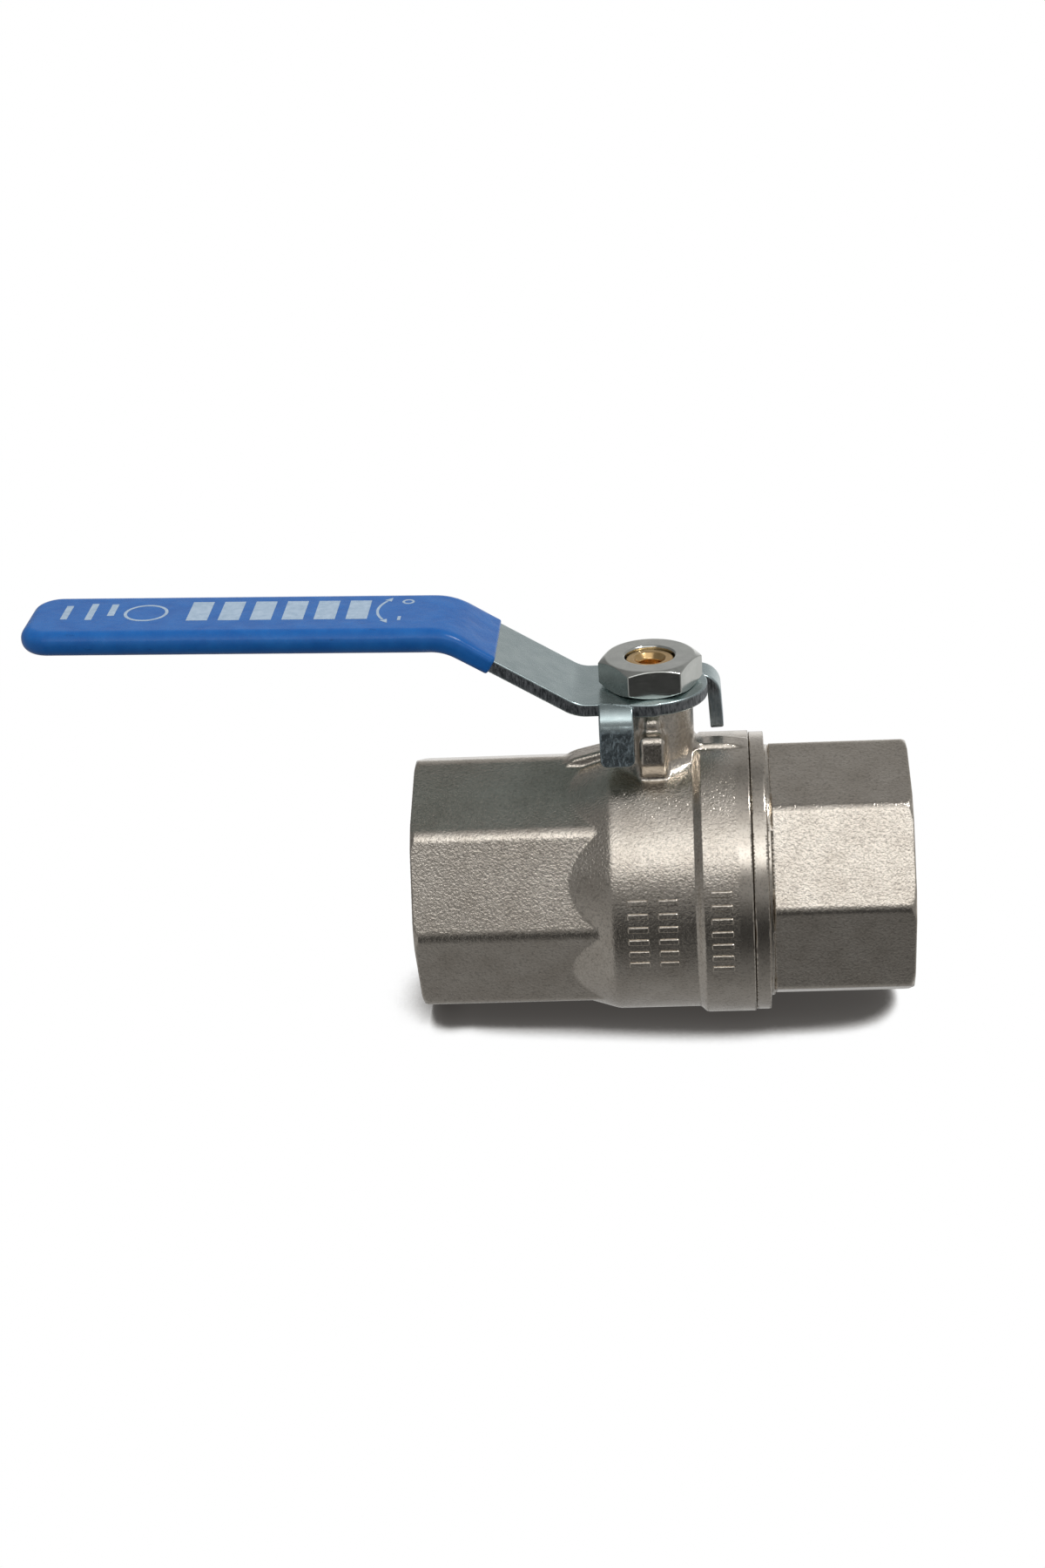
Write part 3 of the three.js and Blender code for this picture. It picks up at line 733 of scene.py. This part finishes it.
def mesh_object(name, points, faces, normals=None):
    """A smooth-shaded object from points in millimetres and equal-sided faces."""
    corners = faces.shape[1]
    mesh = bpy.data.meshes.new(name)
    mesh.vertices.add(len(points))
    placed = points * MM + np.array(BALL_CENTRE)
    mesh.vertices.foreach_set("co", placed.astype(np.float32).ravel())
    mesh.loops.add(faces.size)
    mesh.loops.foreach_set("vertex_index", faces.astype(np.int32).ravel())
    mesh.polygons.add(len(faces))
    mesh.polygons.foreach_set("loop_start", np.arange(0, faces.size, corners, dtype=np.int32))
    mesh.polygons.foreach_set("use_smooth", np.ones(len(faces), bool))
    mesh.update(calc_edges=True)
    if normals is not None:
        mesh.normals_split_custom_set_from_vertices(normals.astype(np.float32))
    piece = bpy.data.objects.new(name, mesh)
    bpy.context.scene.collection.objects.link(piece)
    return piece


def carve(name, body, slot, field, low, high, step, node=None, masks=None):
    """Builds the solid that a distance field describes, between the corners low and high.

    node is the CAD node that the piece stands for, if it stands for one. masks maps a name to a
    function of x, y and z whose value is kept on the mesh's points.
    """
    low = np.array(low, float) - 2.5 * step
    counts = np.ceil((np.array(high) + 2.5 * step - low) / (step * GRID_BLOCK)).astype(int) + 1
    values = sample_field(field, low, counts, step)
    points, quads = surface_net(values, low, step)
    points = settle(field, points, step, 2)
    points = even_out(field, points, quads)
    points = settle(field, points, step, 3)
    normals = gradient(field, points)
    normals /= np.maximum(np.linalg.norm(normals, axis=1), 1e-6)[:, None]
    piece = mesh_object(name, points, quads, normals)
    for mask, value in (masks or {}).items():
        layer = piece.data.attributes.new(mask, "FLOAT", "POINT")
        layer.data.foreach_set("value", np.clip(value(*points.T), 0, 1).astype(np.float32))
    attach(piece, body)
    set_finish(piece, slot)
    if node:
        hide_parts(node)
    return piece


def path_point(along, height):
    """(x, z) on the last straight run of the lever, from the distance along it and its height."""
    _, start, way, travelled, _ = LEVER_PIECES[-1]
    here = start + way * (along - travelled)
    return here + height * np.array([way[1], -way[0]])


# ---------------------------------------------------------------- the valve's pieces


TURNED_PORT_R = 21.9
TURNED_RIM_R = 26.5
TURNED_RIM_X = 15.2


def turned_port(radius):
    return (radius - TURNED_PORT_R) * -4 + 0.5


def turned_body(x, y, z):
    """1 where the body was turned after forging: port, end face and collar rim."""
    radius = length(y, z)
    face = (BODY_END_X + 0.25 - x) * 6
    rim = (x - TURNED_RIM_X) * 3
    rim = np.where(radius > TURNED_RIM_R, rim, 0)
    return np.maximum(np.maximum(turned_port(radius), face), rim)


def turned_cap(x, y, z):
    """1 where the end cap was turned after forging: port, end face, flange and spigot."""
    radius = length(y, z)
    face = (x - CAP_END_X + 0.25) * 6
    flange = (CAP_OCTAGON_X + 0.1 - x) * 6
    return np.maximum(np.maximum(turned_port(radius), face), flange)


carve(
    "valve_body",
    "housing",
    "nickel_plated_brass",
    body_field,
    low=(BODY_END_X, -27.1, -27.1),
    high=(SEAM_X, 27.1, NECK_TOP_Z),
    step=0.36,
    node="body",
    masks={"turned": turned_body},
)

carve(
    "cast_bars",
    "housing",
    "nickel_plated_brass",
    cast_bars_field,
    low=(-6, -COLLAR_R - CAST_RISE, -10.5),
    high=(14.5, -22, 10.5),
    step=0.17,
)

carve(
    "screwed_end_cap",
    "housing",
    "nickel_plated_brass",
    cap_field,
    low=(CAP_INNER_X, -27, -27),
    high=(CAP_END_X, 27, 27),
    step=0.36,
    node="end_cap",
    masks={"turned": turned_cap},
)

carve(
    "bored_ball",
    "ball",
    "chromed_ball",
    ball_field,
    low=(-BALL_R,) * 3,
    high=(BALL_R,) * 3,
    step=0.45,
    node="ball",
)

for side, word in ((-1, "left"), (1, "right")):
    near, far = sorted((side * SEAT_X[0], side * SEAT_X[1]))
    carve(
        f"seat_{word}",
        "housing",
        "ptfe",
        seat_field(side),
        low=(near, -SEAT_OUTER_R, -SEAT_OUTER_R),
        high=(far, SEAT_OUTER_R, SEAT_OUTER_R),
        step=0.35,
        node=f"seat_ring_{word}",
    )

carve(
    "thrust_washer",
    "housing",
    "ptfe",
    ring_field("z", *WASHER_R, *WASHER_Z, 0.15),
    low=(-WASHER_R[1], -WASHER_R[1], WASHER_Z[0]),
    high=(WASHER_R[1], WASHER_R[1], WASHER_Z[1]),
    step=0.14,
    node="stem_thrust_washer",
)

carve(
    "joint_seal",
    "housing",
    "ptfe",
    ring_field("x", *SEAL_R, *SEAL_X, 0.2),
    low=(SEAL_X[0], -SEAL_R[1], -SEAL_R[1]),
    high=(SEAL_X[1], SEAL_R[1], SEAL_R[1]),
    step=0.24,
    node="body_seal",
)

carve(
    "turned_stem",
    "stem_lever",
    "bare_brass",
    stem_field,
    low=(-STEM_COLLAR_R, -STEM_COLLAR_R, STEM_TANG_Z),
    high=(STEM_COLLAR_R, STEM_COLLAR_R, STEM_TOP_Z),
    step=0.16,
    node="stem",
)

for height, word in zip(O_RING_Z, ("lower", "upper")):
    reach = O_RING_R + O_RING_SECTION_R
    carve(
        f"o_ring_{word}",
        "stem_lever",
        "seal_rubber",
        o_ring_field(height),
        low=(-reach, -reach, height - O_RING_SECTION_R),
        high=(reach, reach, height + O_RING_SECTION_R),
        step=0.14,
        node=f"stem_o_ring_{word}",
    )

carve(
    "pressed_lever",
    "stem_lever",
    "zinc_plated_steel",
    lever_field,
    low=(LEVER_END_X, -TAB_FACE - 0.2, TAB_BOTTOM_Z - 0.3),
    high=(TAB_FACE + 0.2, HUB_R, 58),
    step=0.26,
    node="lever",
    masks={"sheared": lever_sheared, "hammered_and_painted_shade": lever_hammered_and_shaded},
)

grip = carve(
    "dipped_grip",
    "stem_lever",
    "blue_vinyl",
    grip_field,
    low=(GRIP_END_X, -GRIP_WIDTH / 2, 44),
    high=(GRIP_MOUTH_X + 3, GRIP_WIDTH / 2, 59),
    step=0.34,
    node="lever_grip",
)
grip.visible_glossy = False

nut = carve(
    "hexagon_nut",
    "stem_lever",
    "zinc_plated_steel",
    nut_field,
    low=(-9.9, -9.9, NUT_BOTTOM_Z),
    high=(9.9, 9.9, NUT_TOP_Z),
    step=0.18,
    node="lever_nut",
)


# ---------------------------------------------------------------- print on the grip


INK_LIFT = 0.035
INK_DEPTH = 0.05
INK_BLOCK_PITCH = 6.0
INK_BLOCK_SIZE = (4.0, 9.6)
ARROW_X = -48.9
ARROW_SIZE = 1.8
INK_STROKE = 1.3


def bar(x, y, wide, high):
    """A plain block about a middle point in plan, wide along X and high along Y."""
    rows = np.linspace(-0.5, 0.5, 5)
    left = [(x - wide / 2, y + high * r) for r in rows]
    right = [(x + wide / 2, y + high * r) for r in rows]
    return left, right


def arc_band(x, y, radius, width, start, end, count=24):
    """Part of a ring about a middle point, between two angles in degrees."""
    angles = np.radians(np.linspace(start, end, count))

    def edge(r):
        return [(x + r * math.cos(a), y + r * math.sin(a)) for a in angles]

    return edge(radius - width / 2), edge(radius + width / 2)


def arrow_head(x, y, direction, size):
    """A triangle that points in a direction given in degrees."""
    a = math.radians(direction)
    way = np.array([math.cos(a), math.sin(a)])
    side = np.array([-way[1], way[0]])
    spread = np.linspace(1, 0.03, 5)
    foot = np.array([x, y])
    left = [tuple(foot + way * size * (1 - t) + side * size * 0.42 * t) for t in spread]
    right = [tuple(foot + way * size * (1 - t) - side * size * 0.42 * t) for t in spread]
    return left, right


def printed(name, bands):
    """Thin ink films on the flat top of the grip, each given by two facing edge lines."""
    points = []
    faces = []
    for left, right in bands:
        rows = len(left)
        base = len(points)
        for top in (GRIP_THICKNESS / 2 + INK_LIFT, GRIP_THICKNESS / 2 - INK_DEPTH):
            for px, py in (*left, *right):
                along = float(along_path(LEVER_PIECES, px, 58.0)[0])
                x, z = path_point(along, top)
                points.append((x, py, z))
        for r in range(rows - 1):
            tl, tr = base + r, base + rows + r
            bl, br = base + 2 * rows + r, base + 3 * rows + r
            faces.append((tl, tr, tr + 1, tl + 1))
            faces.append((bl + 1, br + 1, br, bl))
            faces.append((tl + 1, bl + 1, bl, tl))
            faces.append((tr, br, br + 1, tr + 1))
        last = base + rows - 1
        faces.append((base, base + 2 * rows, base + 3 * rows, base + rows))
        faces.append((last + rows, last + 3 * rows, last + 2 * rows, last))
    return mesh_object(name, np.array(points, float), np.array(faces))


bands = [bar(-84.0 + INK_BLOCK_PITCH * i, 1.2, *INK_BLOCK_SIZE) for i in range(6)]
bands.append(arc_band(-41.5, 0.8, 8.9, 0.5, 148, 212))
for y, direction in ((5.7, 62), (-4.1, -62)):
    bands.append(arrow_head(ARROW_X, y, direction, ARROW_SIZE))
bands.append(bar(-46.0, -3.4, 0.6, 2.0))
bands.append(arc_band(-45.0, 5.2, 0.95, 0.45, 0, 360))
bands.append(arc_band(-94.2, 0.5, 3.9, 0.6, 0, 360, 40))
for x, y, high in ((-100.8, 2.2, 6.0), (-104.7, 1.4, 8.4), (-109.4, 1.1, 7.0)):
    bands.append(bar(x, y, INK_STROKE, high))
ink = printed("grip_print", bands)
ink.data.polygons.foreach_set("use_smooth", np.zeros(len(ink.data.polygons), bool))
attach(ink, "stem_lever")
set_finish(ink, "blue_vinyl")
ink.visible_glossy = False


# ---------------------------------------------------------------- finishes


class Nodes:
    """Shorthand for filling a node tree."""

    def __init__(self, tree):
        self.tree = tree
        tree.nodes.clear()

    def add(self, kind, inputs, **settings):
        node = self.tree.nodes.new(kind)
        for key, value in settings.items():
            setattr(node, key, value)
        for key, value in inputs.items():
            if isinstance(value, bpy.types.NodeSocket):
                self.tree.links.new(value, node.inputs[key])
            else:
                node.inputs[key].default_value = value
        return node

    def math(self, operation, a, b=0.0, clamp=False):
        node = self.add("ShaderNodeMath", {0: a, 1: b}, operation=operation, use_clamp=clamp)
        return node.outputs[0]

    def vector(self, operation, a, b):
        node = self.add("ShaderNodeVectorMath", {0: a, 1: b}, operation=operation)
        return node.outputs[0]

    def ramp(self, value, stops):
        """A colour ramp from (position, colour or grey) stops."""
        node = self.add("ShaderNodeValToRGB", {0: value})
        elements = node.color_ramp.elements
        while len(elements) < len(stops):
            elements.new(0.5)
        for element, (position, shade) in zip(elements, stops):
            element.position = position
            element.color = (*shade, 1) if isinstance(shade, tuple) else (shade,) * 3 + (1,)
        return node.outputs["Color"]

    def mix(self, share, a, b):
        node = self.add("ShaderNodeMix", {0: share}, data_type="RGBA")
        for socket, value in ((node.inputs[6], a), (node.inputs[7], b)):
            if isinstance(value, bpy.types.NodeSocket):
                self.tree.links.new(value, socket)
            else:
                socket.default_value = (*value, 1)
        return node.outputs[2]

    def tint(self, shade, by):
        node = self.add("ShaderNodeMix", {0: 1.0, 6: shade, 7: by}, data_type="RGBA", blend_type="MULTIPLY")
        return node.outputs[2]

    def either(self, share, a, b):
        """One normal or the other."""
        return self.add("ShaderNodeMix", {0: share, 4: a, 5: b}, data_type="VECTOR").outputs[1]

    def blend(self, share, a, b):
        node = self.add("ShaderNodeMix", {0: share, 2: a, 3: b}, data_type="FLOAT")
        return node.outputs[0]

    def slide(self, value, low, high, at_low, at_high):
        """A smooth change from at_low to at_high as the value goes from low to high."""
        inputs = {0: value, 1: low, 2: high, 3: at_low, 4: at_high}
        node = self.add("ShaderNodeMapRange", inputs, interpolation_type="SMOOTHSTEP")
        return node.outputs[0]

    def spread(self, noise, at_low, at_high):
        """Takes the middle of a noise's range to at_low and at_high."""
        return self.add("ShaderNodeMapRange", {0: noise, 1: 0.3, 2: 0.7, 3: at_low, 4: at_high}).outputs[0]

    def stretched(self, where, factors, detail, roughness):
        """Noise in a space stretched along X, Y and Z."""
        return self.noise(self.vector("MULTIPLY", where, factors), 1.0, detail, roughness)

    def attribute(self, name):
        """A mask kept on the mesh's points by carve."""
        return self.add("ShaderNodeAttribute", {}, attribute_name=name).outputs["Fac"]

    def noise(self, where, scale, detail=2.0, roughness=0.5):
        inputs = {"Vector": where, "Scale": scale, "Detail": detail, "Roughness": roughness}
        return self.add("ShaderNodeTexNoise", inputs).outputs[0]

    def place(self):
        """Where the shaded point is at rest, in millimetres about the ball's centre."""
        spot = self.add("ShaderNodeTexCoord", {}).outputs["Object"]
        spot = self.vector("SUBTRACT", spot, tuple(BALL_CENTRE))
        return self.vector("MULTIPLY", spot, (1000, 1000, 1000))

    def turning(self, where, axis, pitch):
        """Lines left by a lathe round the X or Z axis."""
        parts = self.add("ShaderNodeSeparateXYZ", {0: where}).outputs
        station = parts["XYZ".index(axis.upper())]
        others = [parts[i] for i in range(3) if "XYZ"[i] != axis.upper()]
        squares = [self.math("MULTIPLY", o, o) for o in others]
        radius = self.math("SQRT", self.math("ADD", *squares))
        path = self.math("ADD", station, radius)
        line = self.add("ShaderNodeCombineXYZ", {0: path}).outputs[0]
        return self.noise(line, 1 / pitch, 3.0, 0.6)

    def bump(self, height, reach, before=None):
        inputs = {"Height": height, "Distance": reach, "Strength": 1.0}
        if before is not None:
            inputs["Normal"] = before
        return self.add("ShaderNodeBump", inputs).outputs[0]

    def finish(self, **inputs):
        named = {key.replace("_", " "): value for key, value in inputs.items()}
        shader = self.add("ShaderNodeBsdfPrincipled", named)
        self.add("ShaderNodeOutputMaterial", {"Surface": shader.outputs[0]})
        return shader


def new_material(name):
    material = bpy.data.materials.new(name)
    material.use_nodes = True
    return material, Nodes(material.node_tree)


def nickel_material():
    """Satin nickel over a blasted forging, smoother where the part was turned."""
    material, n = new_material("nickel_plated_brass")
    where = n.place()
    turned = n.attribute("turned")
    patches = n.noise(where, 0.16, 3.0, 0.6)
    fine = n.noise(where, 2.1, 2.0, 0.55)
    grains = n.noise(where, 5.5, 1.0, 0.5)
    lathe = n.turning(where, "x", 0.22)
    shade = n.ramp(patches, [(0.3, (0.58, 0.525, 0.455)), (0.7, (0.70, 0.645, 0.57))])
    speck = n.ramp(n.noise(where, 1.7, 4.0, 0.7), [(0.36, 0.76), (0.50, 1.0)])
    shade = n.tint(shade, speck)
    rough = n.spread(fine, 0.15, 0.24)
    rough = n.blend(turned, rough, 0.20)
    peel = n.bump(fine, 8.0e-5)
    peel = n.bump(grains, 3.0e-5, peel)
    lines = n.bump(lathe, 1.2e-5)
    normal = n.either(turned, peel, lines)
    n.finish(Base_Color=shade, Metallic=1.0, Roughness=rough, Normal=normal)
    return material


def zinc_material(name, dark, light, gloss):
    """Bright zinc plating on steel; sheared edges are darker and rougher, hammered faces wavy and painted
    with shade, tab edges painted lighter.
    """
    material, n = new_material(name)
    where = n.place()
    sheared = n.attribute("sheared")
    clouds = n.noise(where, 0.35, 4.0, 0.6)
    shade = n.ramp(clouds, [(0.3, dark), (0.7, light)])
    tears = n.stretched(where, (2.6, 2.6, 0.7), 4.0, 0.7)
    edge = n.ramp(tears, [(0.35, (0.06, 0.068, 0.075)), (0.62, (0.33, 0.35, 0.37))])
    hammered_and_painted_shade = n.attribute("hammered_and_painted_shade")
    # Painted shade: the tab faces below their bends are painted a darker blue-grey.
    shade = n.mix(n.math("MULTIPLY", hammered_and_painted_shade, 0.6), shade, (0.22, 0.27, 0.32))
    # Painted light: the tabs' cut edges take only part of the dark edge colour, so they are painted lighter.
    tab_edges_painted_lighter = n.math("SUBTRACT", 1.0, n.math("MULTIPLY", hammered_and_painted_shade, 0.6))
    shade = n.mix(n.math("MULTIPLY", sheared, tab_edges_painted_lighter), shade, edge)
    scuffs = n.stretched(where, (0.6, 3.5, 3.5), 3.0, 0.6)
    rough = n.spread(scuffs, gloss, gloss + 0.08)
    rough = n.blend(sheared, rough, 0.42)
    flat = n.bump(n.noise(where, 1.4, 3.0, 0.6), 1.0e-5)
    waves = n.stretched(where, (0.75, 0.75, 0.4), 2.0, 0.5)
    flat = n.bump(n.math("MULTIPLY", waves, hammered_and_painted_shade), 5.0e-4, flat)
    torn = n.bump(tears, 1.3e-4)
    normal = n.either(sheared, flat, torn)
    n.finish(Base_Color=shade, Metallic=1.0, Roughness=rough, Normal=normal)
    return material


def vinyl_material():
    """Dipped blue vinyl: glossy, faintly wavy, with a few scuffs."""
    material, n = new_material("blue_vinyl")
    where = n.place()
    clouds = n.noise(where, 0.25, 3.0, 0.6)
    shade = n.ramp(clouds, [(0.3, (0.007, 0.093, 0.335)), (0.7, (0.012, 0.120, 0.390))])
    grime = n.ramp(n.stretched(where, (0.35, 1.2, 1.2), 5.0, 0.7), [(0.24, 0.55), (0.36, 1.0)])
    shade = n.tint(shade, grime)
    rough = n.spread(n.noise(where, 0.8, 4.0, 0.6), 0.17, 0.30)
    wave = n.bump(n.noise(where, 0.25, 2.0, 0.5), 1.2e-4)
    normal = n.bump(n.noise(where, 3.0, 3.0, 0.6), 6.0e-6, wave)
    n.finish(Base_Color=shade, Roughness=rough, Normal=normal, Specular_IOR_Level=0.3)
    return material


def brass_material():
    """Turned brass with fine lathe lines round the stem's axis."""
    material, n = new_material("bare_brass")
    where = n.place()
    clouds = n.noise(where, 0.5, 3.0, 0.6)
    shade = n.ramp(clouds, [(0.3, (0.66, 0.43, 0.19)), (0.7, (0.82, 0.58, 0.30))])
    lathe = n.turning(where, "z", 0.16)
    rough = n.spread(lathe, 0.16, 0.28)
    normal = n.bump(lathe, 1.0e-5)
    normal = n.bump(n.noise(where, 3.0, 2.0), 8.0e-6, normal)
    n.finish(Base_Color=shade, Metallic=1.0, Roughness=rough, Normal=normal)
    return material


def chrome_material():
    """Polished chrome with faint marks round the pipe's axis."""
    material, n = new_material("chromed_ball")
    where = n.place()
    clouds = n.noise(where, 0.3, 3.0, 0.6)
    shade = n.ramp(clouds, [(0.3, (0.78, 0.79, 0.80)), (0.7, (0.84, 0.85, 0.86))])
    swirl = n.stretched(where, (0.4, 6.0, 6.0), 3.0, 0.6)
    rough = n.spread(swirl, 0.05, 0.12)
    n.finish(Base_Color=shade, Metallic=1.0, Roughness=rough, Normal=n.bump(swirl, 2.0e-6))
    return material


def soft_material(name, dark, light, smoothest, roughest, relief):
    """PTFE, rubber or ink: a plain dielectric with a little mottling."""
    material, n = new_material(name)
    where = n.place()
    clouds = n.noise(where, 0.8, 4.0, 0.6)
    shade = n.ramp(clouds, [(0.3, dark), (0.7, light)])
    fine = n.noise(where, 4.0, 3.0, 0.6)
    rough = n.spread(fine, smoothest, roughest)
    n.finish(Base_Color=shade, Roughness=rough, Normal=n.bump(fine, relief))
    return material


LEVER_ZINC = ((0.43, 0.52, 0.53), (0.54, 0.63, 0.635), 0.24)
NUT_ZINC = ((0.60, 0.615, 0.58), (0.72, 0.73, 0.69), 0.13)

finishes = {
    "nickel_plated_brass": nickel_material(),
    "zinc_plated_steel": zinc_material("zinc_plated_steel", *LEVER_ZINC),
    "blue_vinyl": vinyl_material(),
    "bare_brass": brass_material(),
    "chromed_ball": chrome_material(),
    "ptfe": soft_material("ptfe", (0.80, 0.79, 0.75), (0.88, 0.87, 0.84), 0.4, 0.55, 8e-6),
    "seal_rubber": soft_material("seal_rubber", (0.012,) * 3, (0.03,) * 3, 0.45, 0.7, 1.2e-5),
}
warm_zinc = zinc_material("zinc_plated_nut", *NUT_ZINC)
white_ink = soft_material("white_ink", (0.26, 0.36, 0.47), (0.37, 0.47, 0.58), 0.35, 0.5, 6e-6)
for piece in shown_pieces():
    piece.data.materials.clear()
    piece.data.materials.append(finishes[piece["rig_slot"]])
ink.data.materials[0] = white_ink
nut.data.materials[0] = warm_zinc


# ---------------------------------------------------------------- floor, light and camera


FLOOR_SPAN = 1500
FLOOR_TILES = 6
FLOOR_GAP = 0.03
LEFT_CORNER_R = 25.15
SHELTER_REACH = 90


def floor_material():
    """Pale floor that glows evenly, with a painted shadow close under the valve and a little beyond its left
    end.
    """
    material, n = new_material("pale_floor")
    shelter = n.add("ShaderNodeAmbientOcclusion", {"Distance": SHELTER_REACH * MM}, samples=64).outputs["AO"]
    station = n.add("ShaderNodeSeparateXYZ", {0: n.place()}).outputs[0]
    # Painted shadow: the floor's shade is stretched a little past the valve's left end.
    painted_shadow_leftward = n.slide(station, BODY_END_X + 9, BODY_END_X - 1, 0.0, 0.2)
    shelter = n.math("SUBTRACT", shelter, painted_shadow_leftward, clamp=True)
    # Painted shadow: the floor's glow dims where the valve hangs over it, by its ambient occlusion.
    painted_shadow_tone = n.ramp(shelter, [
        (0.0, (0.050, 0.046, 0.043)),
        (0.16, (0.075, 0.070, 0.066)),
        (0.26, (0.10, 0.095, 0.09)),
        (0.31, (0.45, 0.44, 0.43)),
        (0.37, 1.0),
    ])
    glow_with_painted_shadow = n.add("ShaderNodeEmission", {"Color": painted_shadow_tone}).outputs[0]
    clear = n.add("ShaderNodeBsdfTransparent", {}).outputs[0]
    behind = n.add("ShaderNodeNewGeometry", {}).outputs["Backfacing"]
    both = n.add("ShaderNodeMixShader", {0: behind, 1: glow_with_painted_shadow, 2: clear}).outputs[0]
    n.add("ShaderNodeOutputMaterial", {"Surface": both})
    return material


# The valve lies on its collar and on the left octagon's lowest corner, so the floor slopes a little.
FLOOR_TILT = math.atan((COLLAR_R - LEFT_CORNER_R) / (SEAM_X - BODY_END_X))
lines = FLOOR_TILES + 1
span = np.linspace(-FLOOR_SPAN, FLOOR_SPAN, lines)
grid = np.array([(a, b) for a in span for b in span])
drop = (grid[:, 0] - SEAM_X) * math.tan(FLOOR_TILT)
sheet = np.column_stack([grid, -COLLAR_R - FLOOR_GAP - drop])
firsts = [i * lines + j for i in range(FLOOR_TILES) for j in range(FLOOR_TILES)]
tiles = np.array([(k, k + lines, k + lines + 1, k + 1) for k in firsts])
floor = mesh_object("pale_floor", sheet, tiles)
floor.data.materials.append(floor_material())
floor.visible_glossy = False
floor.visible_diffuse = False
floor.visible_shadow = False


def studio_world():
    """A soft overhead light seen in reflections, white behind the valve."""
    world = bpy.data.worlds.new("studio")
    world.use_nodes = True
    world.cycles.sampling_method = "NONE"
    n = Nodes(world.node_tree)
    ray = n.add("ShaderNodeTexCoord", {}).outputs["Generated"]
    parts = n.add("ShaderNodeSeparateXYZ", {0: ray}).outputs
    toward = n.math("MULTIPLY", parts[1], -1.0)
    turn = n.math("ARCTAN2", parts[2], toward)
    turn = n.math("ADD", n.math("DIVIDE", turn, 2 * math.pi), 0.5)
    # Brightness of the room by angle about the pipe: 0 is level in front of the valve and 90 overhead.
    peak = 2.0
    around = [
        (-180, 0.95), (-160, 0.85), (-140, 0.45), (-120, 0.30), (-95, 0.26), (-75, 0.21),
        (-55, 0.14), (-40, 0.08), (-30, 0.045), (-19, 0.045), (-8, 0.11), (0, 0.19),
        (6, 0.28), (20, 0.29), (27, 0.60), (32, 1.50), (38, 1.95), (46, 1.62),
        (54, 1.22), (64, 0.90), (76, 0.55), (90, 0.36), (104, 0.23), (116, 0.20),
        (130, 0.33), (152, 0.40), (166, 0.46), (174, 0.80), (180, 0.95),
    ]
    stops = [((a + 180) / 360, v / peak) for a, v in around]
    arch = n.math("MULTIPLY", n.ramp(turn, stops), peak)
    left = n.slide(parts[0], -0.15, -0.45, 0.0, 1.0)
    right = n.slide(parts[0], 0.25, 0.65, 0.0, 1.0)
    mirror = n.blend(left, arch, n.slide(parts[2], -0.4, 0.3, 0.34, 0.19))
    beside = n.slide(parts[1], 0.1, 0.25, 0.28, 0.62)
    high = n.slide(parts[2], -0.3, 0.3, 0.0, 1.0)
    mirror = n.blend(right, mirror, n.blend(high, beside, 0.35))
    soft = n.slide(parts[2], -0.7, 0.7, 0.14, 1.0)
    path = n.add("ShaderNodeLightPath", {}).outputs
    seen = n.blend(path["Is Glossy Ray"], soft, mirror)
    seen = n.blend(path["Is Camera Ray"], seen, 1.0)
    background = n.add("ShaderNodeBackground", {"Color": seen}).outputs[0]
    n.add("ShaderNodeOutputWorld", {"Surface": background})
    return world


scene = bpy.context.scene
scene.world = studio_world()

TOWARD_LAMP = Vector((0.42, -0.08, 0.90)).normalized()
LAMP_DISTANCE = 1200

lamp = bpy.data.objects.new("lamp", bpy.data.lights.new("lamp", "AREA"))
lamp.data.shape = "DISK"
lamp.data.size = 0.15
lamp.data.energy = 4.0
lamp.location = BALL_CENTRE + TOWARD_LAMP * LAMP_DISTANCE * MM
lamp.rotation_mode = "QUATERNION"
lamp.rotation_quaternion = TOWARD_LAMP.to_track_quat("Z", "Y")
scene.collection.objects.link(lamp)
scene.view_settings.view_transform = "Standard"
scene.view_settings.look = "None"
scene.cycles.use_denoising = True
scene.cycles.max_bounces = 8
scene.cycles.glossy_bounces = 5

CAMERA_SPOT = Vector((13.5, -467.56, 232.65))
CAMERA_FORWARD = Vector((-0.0756, 0.9076, -0.4131)).normalized()
CAMERA_RIGHT = Vector((0.9966, 0.0553, -0.0608)).normalized()
CAMERA_UP = CAMERA_RIGHT.cross(CAMERA_FORWARD)

camera = bpy.data.objects.new("camera", bpy.data.cameras.new("camera"))
scene.collection.objects.link(camera)
facing = Matrix((CAMERA_RIGHT, CAMERA_UP, -CAMERA_FORWARD)).transposed().to_4x4()
camera.matrix_world = Matrix.Translation(BALL_CENTRE + CAMERA_SPOT * MM) @ facing
camera.data.lens = 61.69
camera.data.sensor_width = 36
camera.data.clip_start = 0.01
camera.data.clip_end = 20
scene.camera = camera
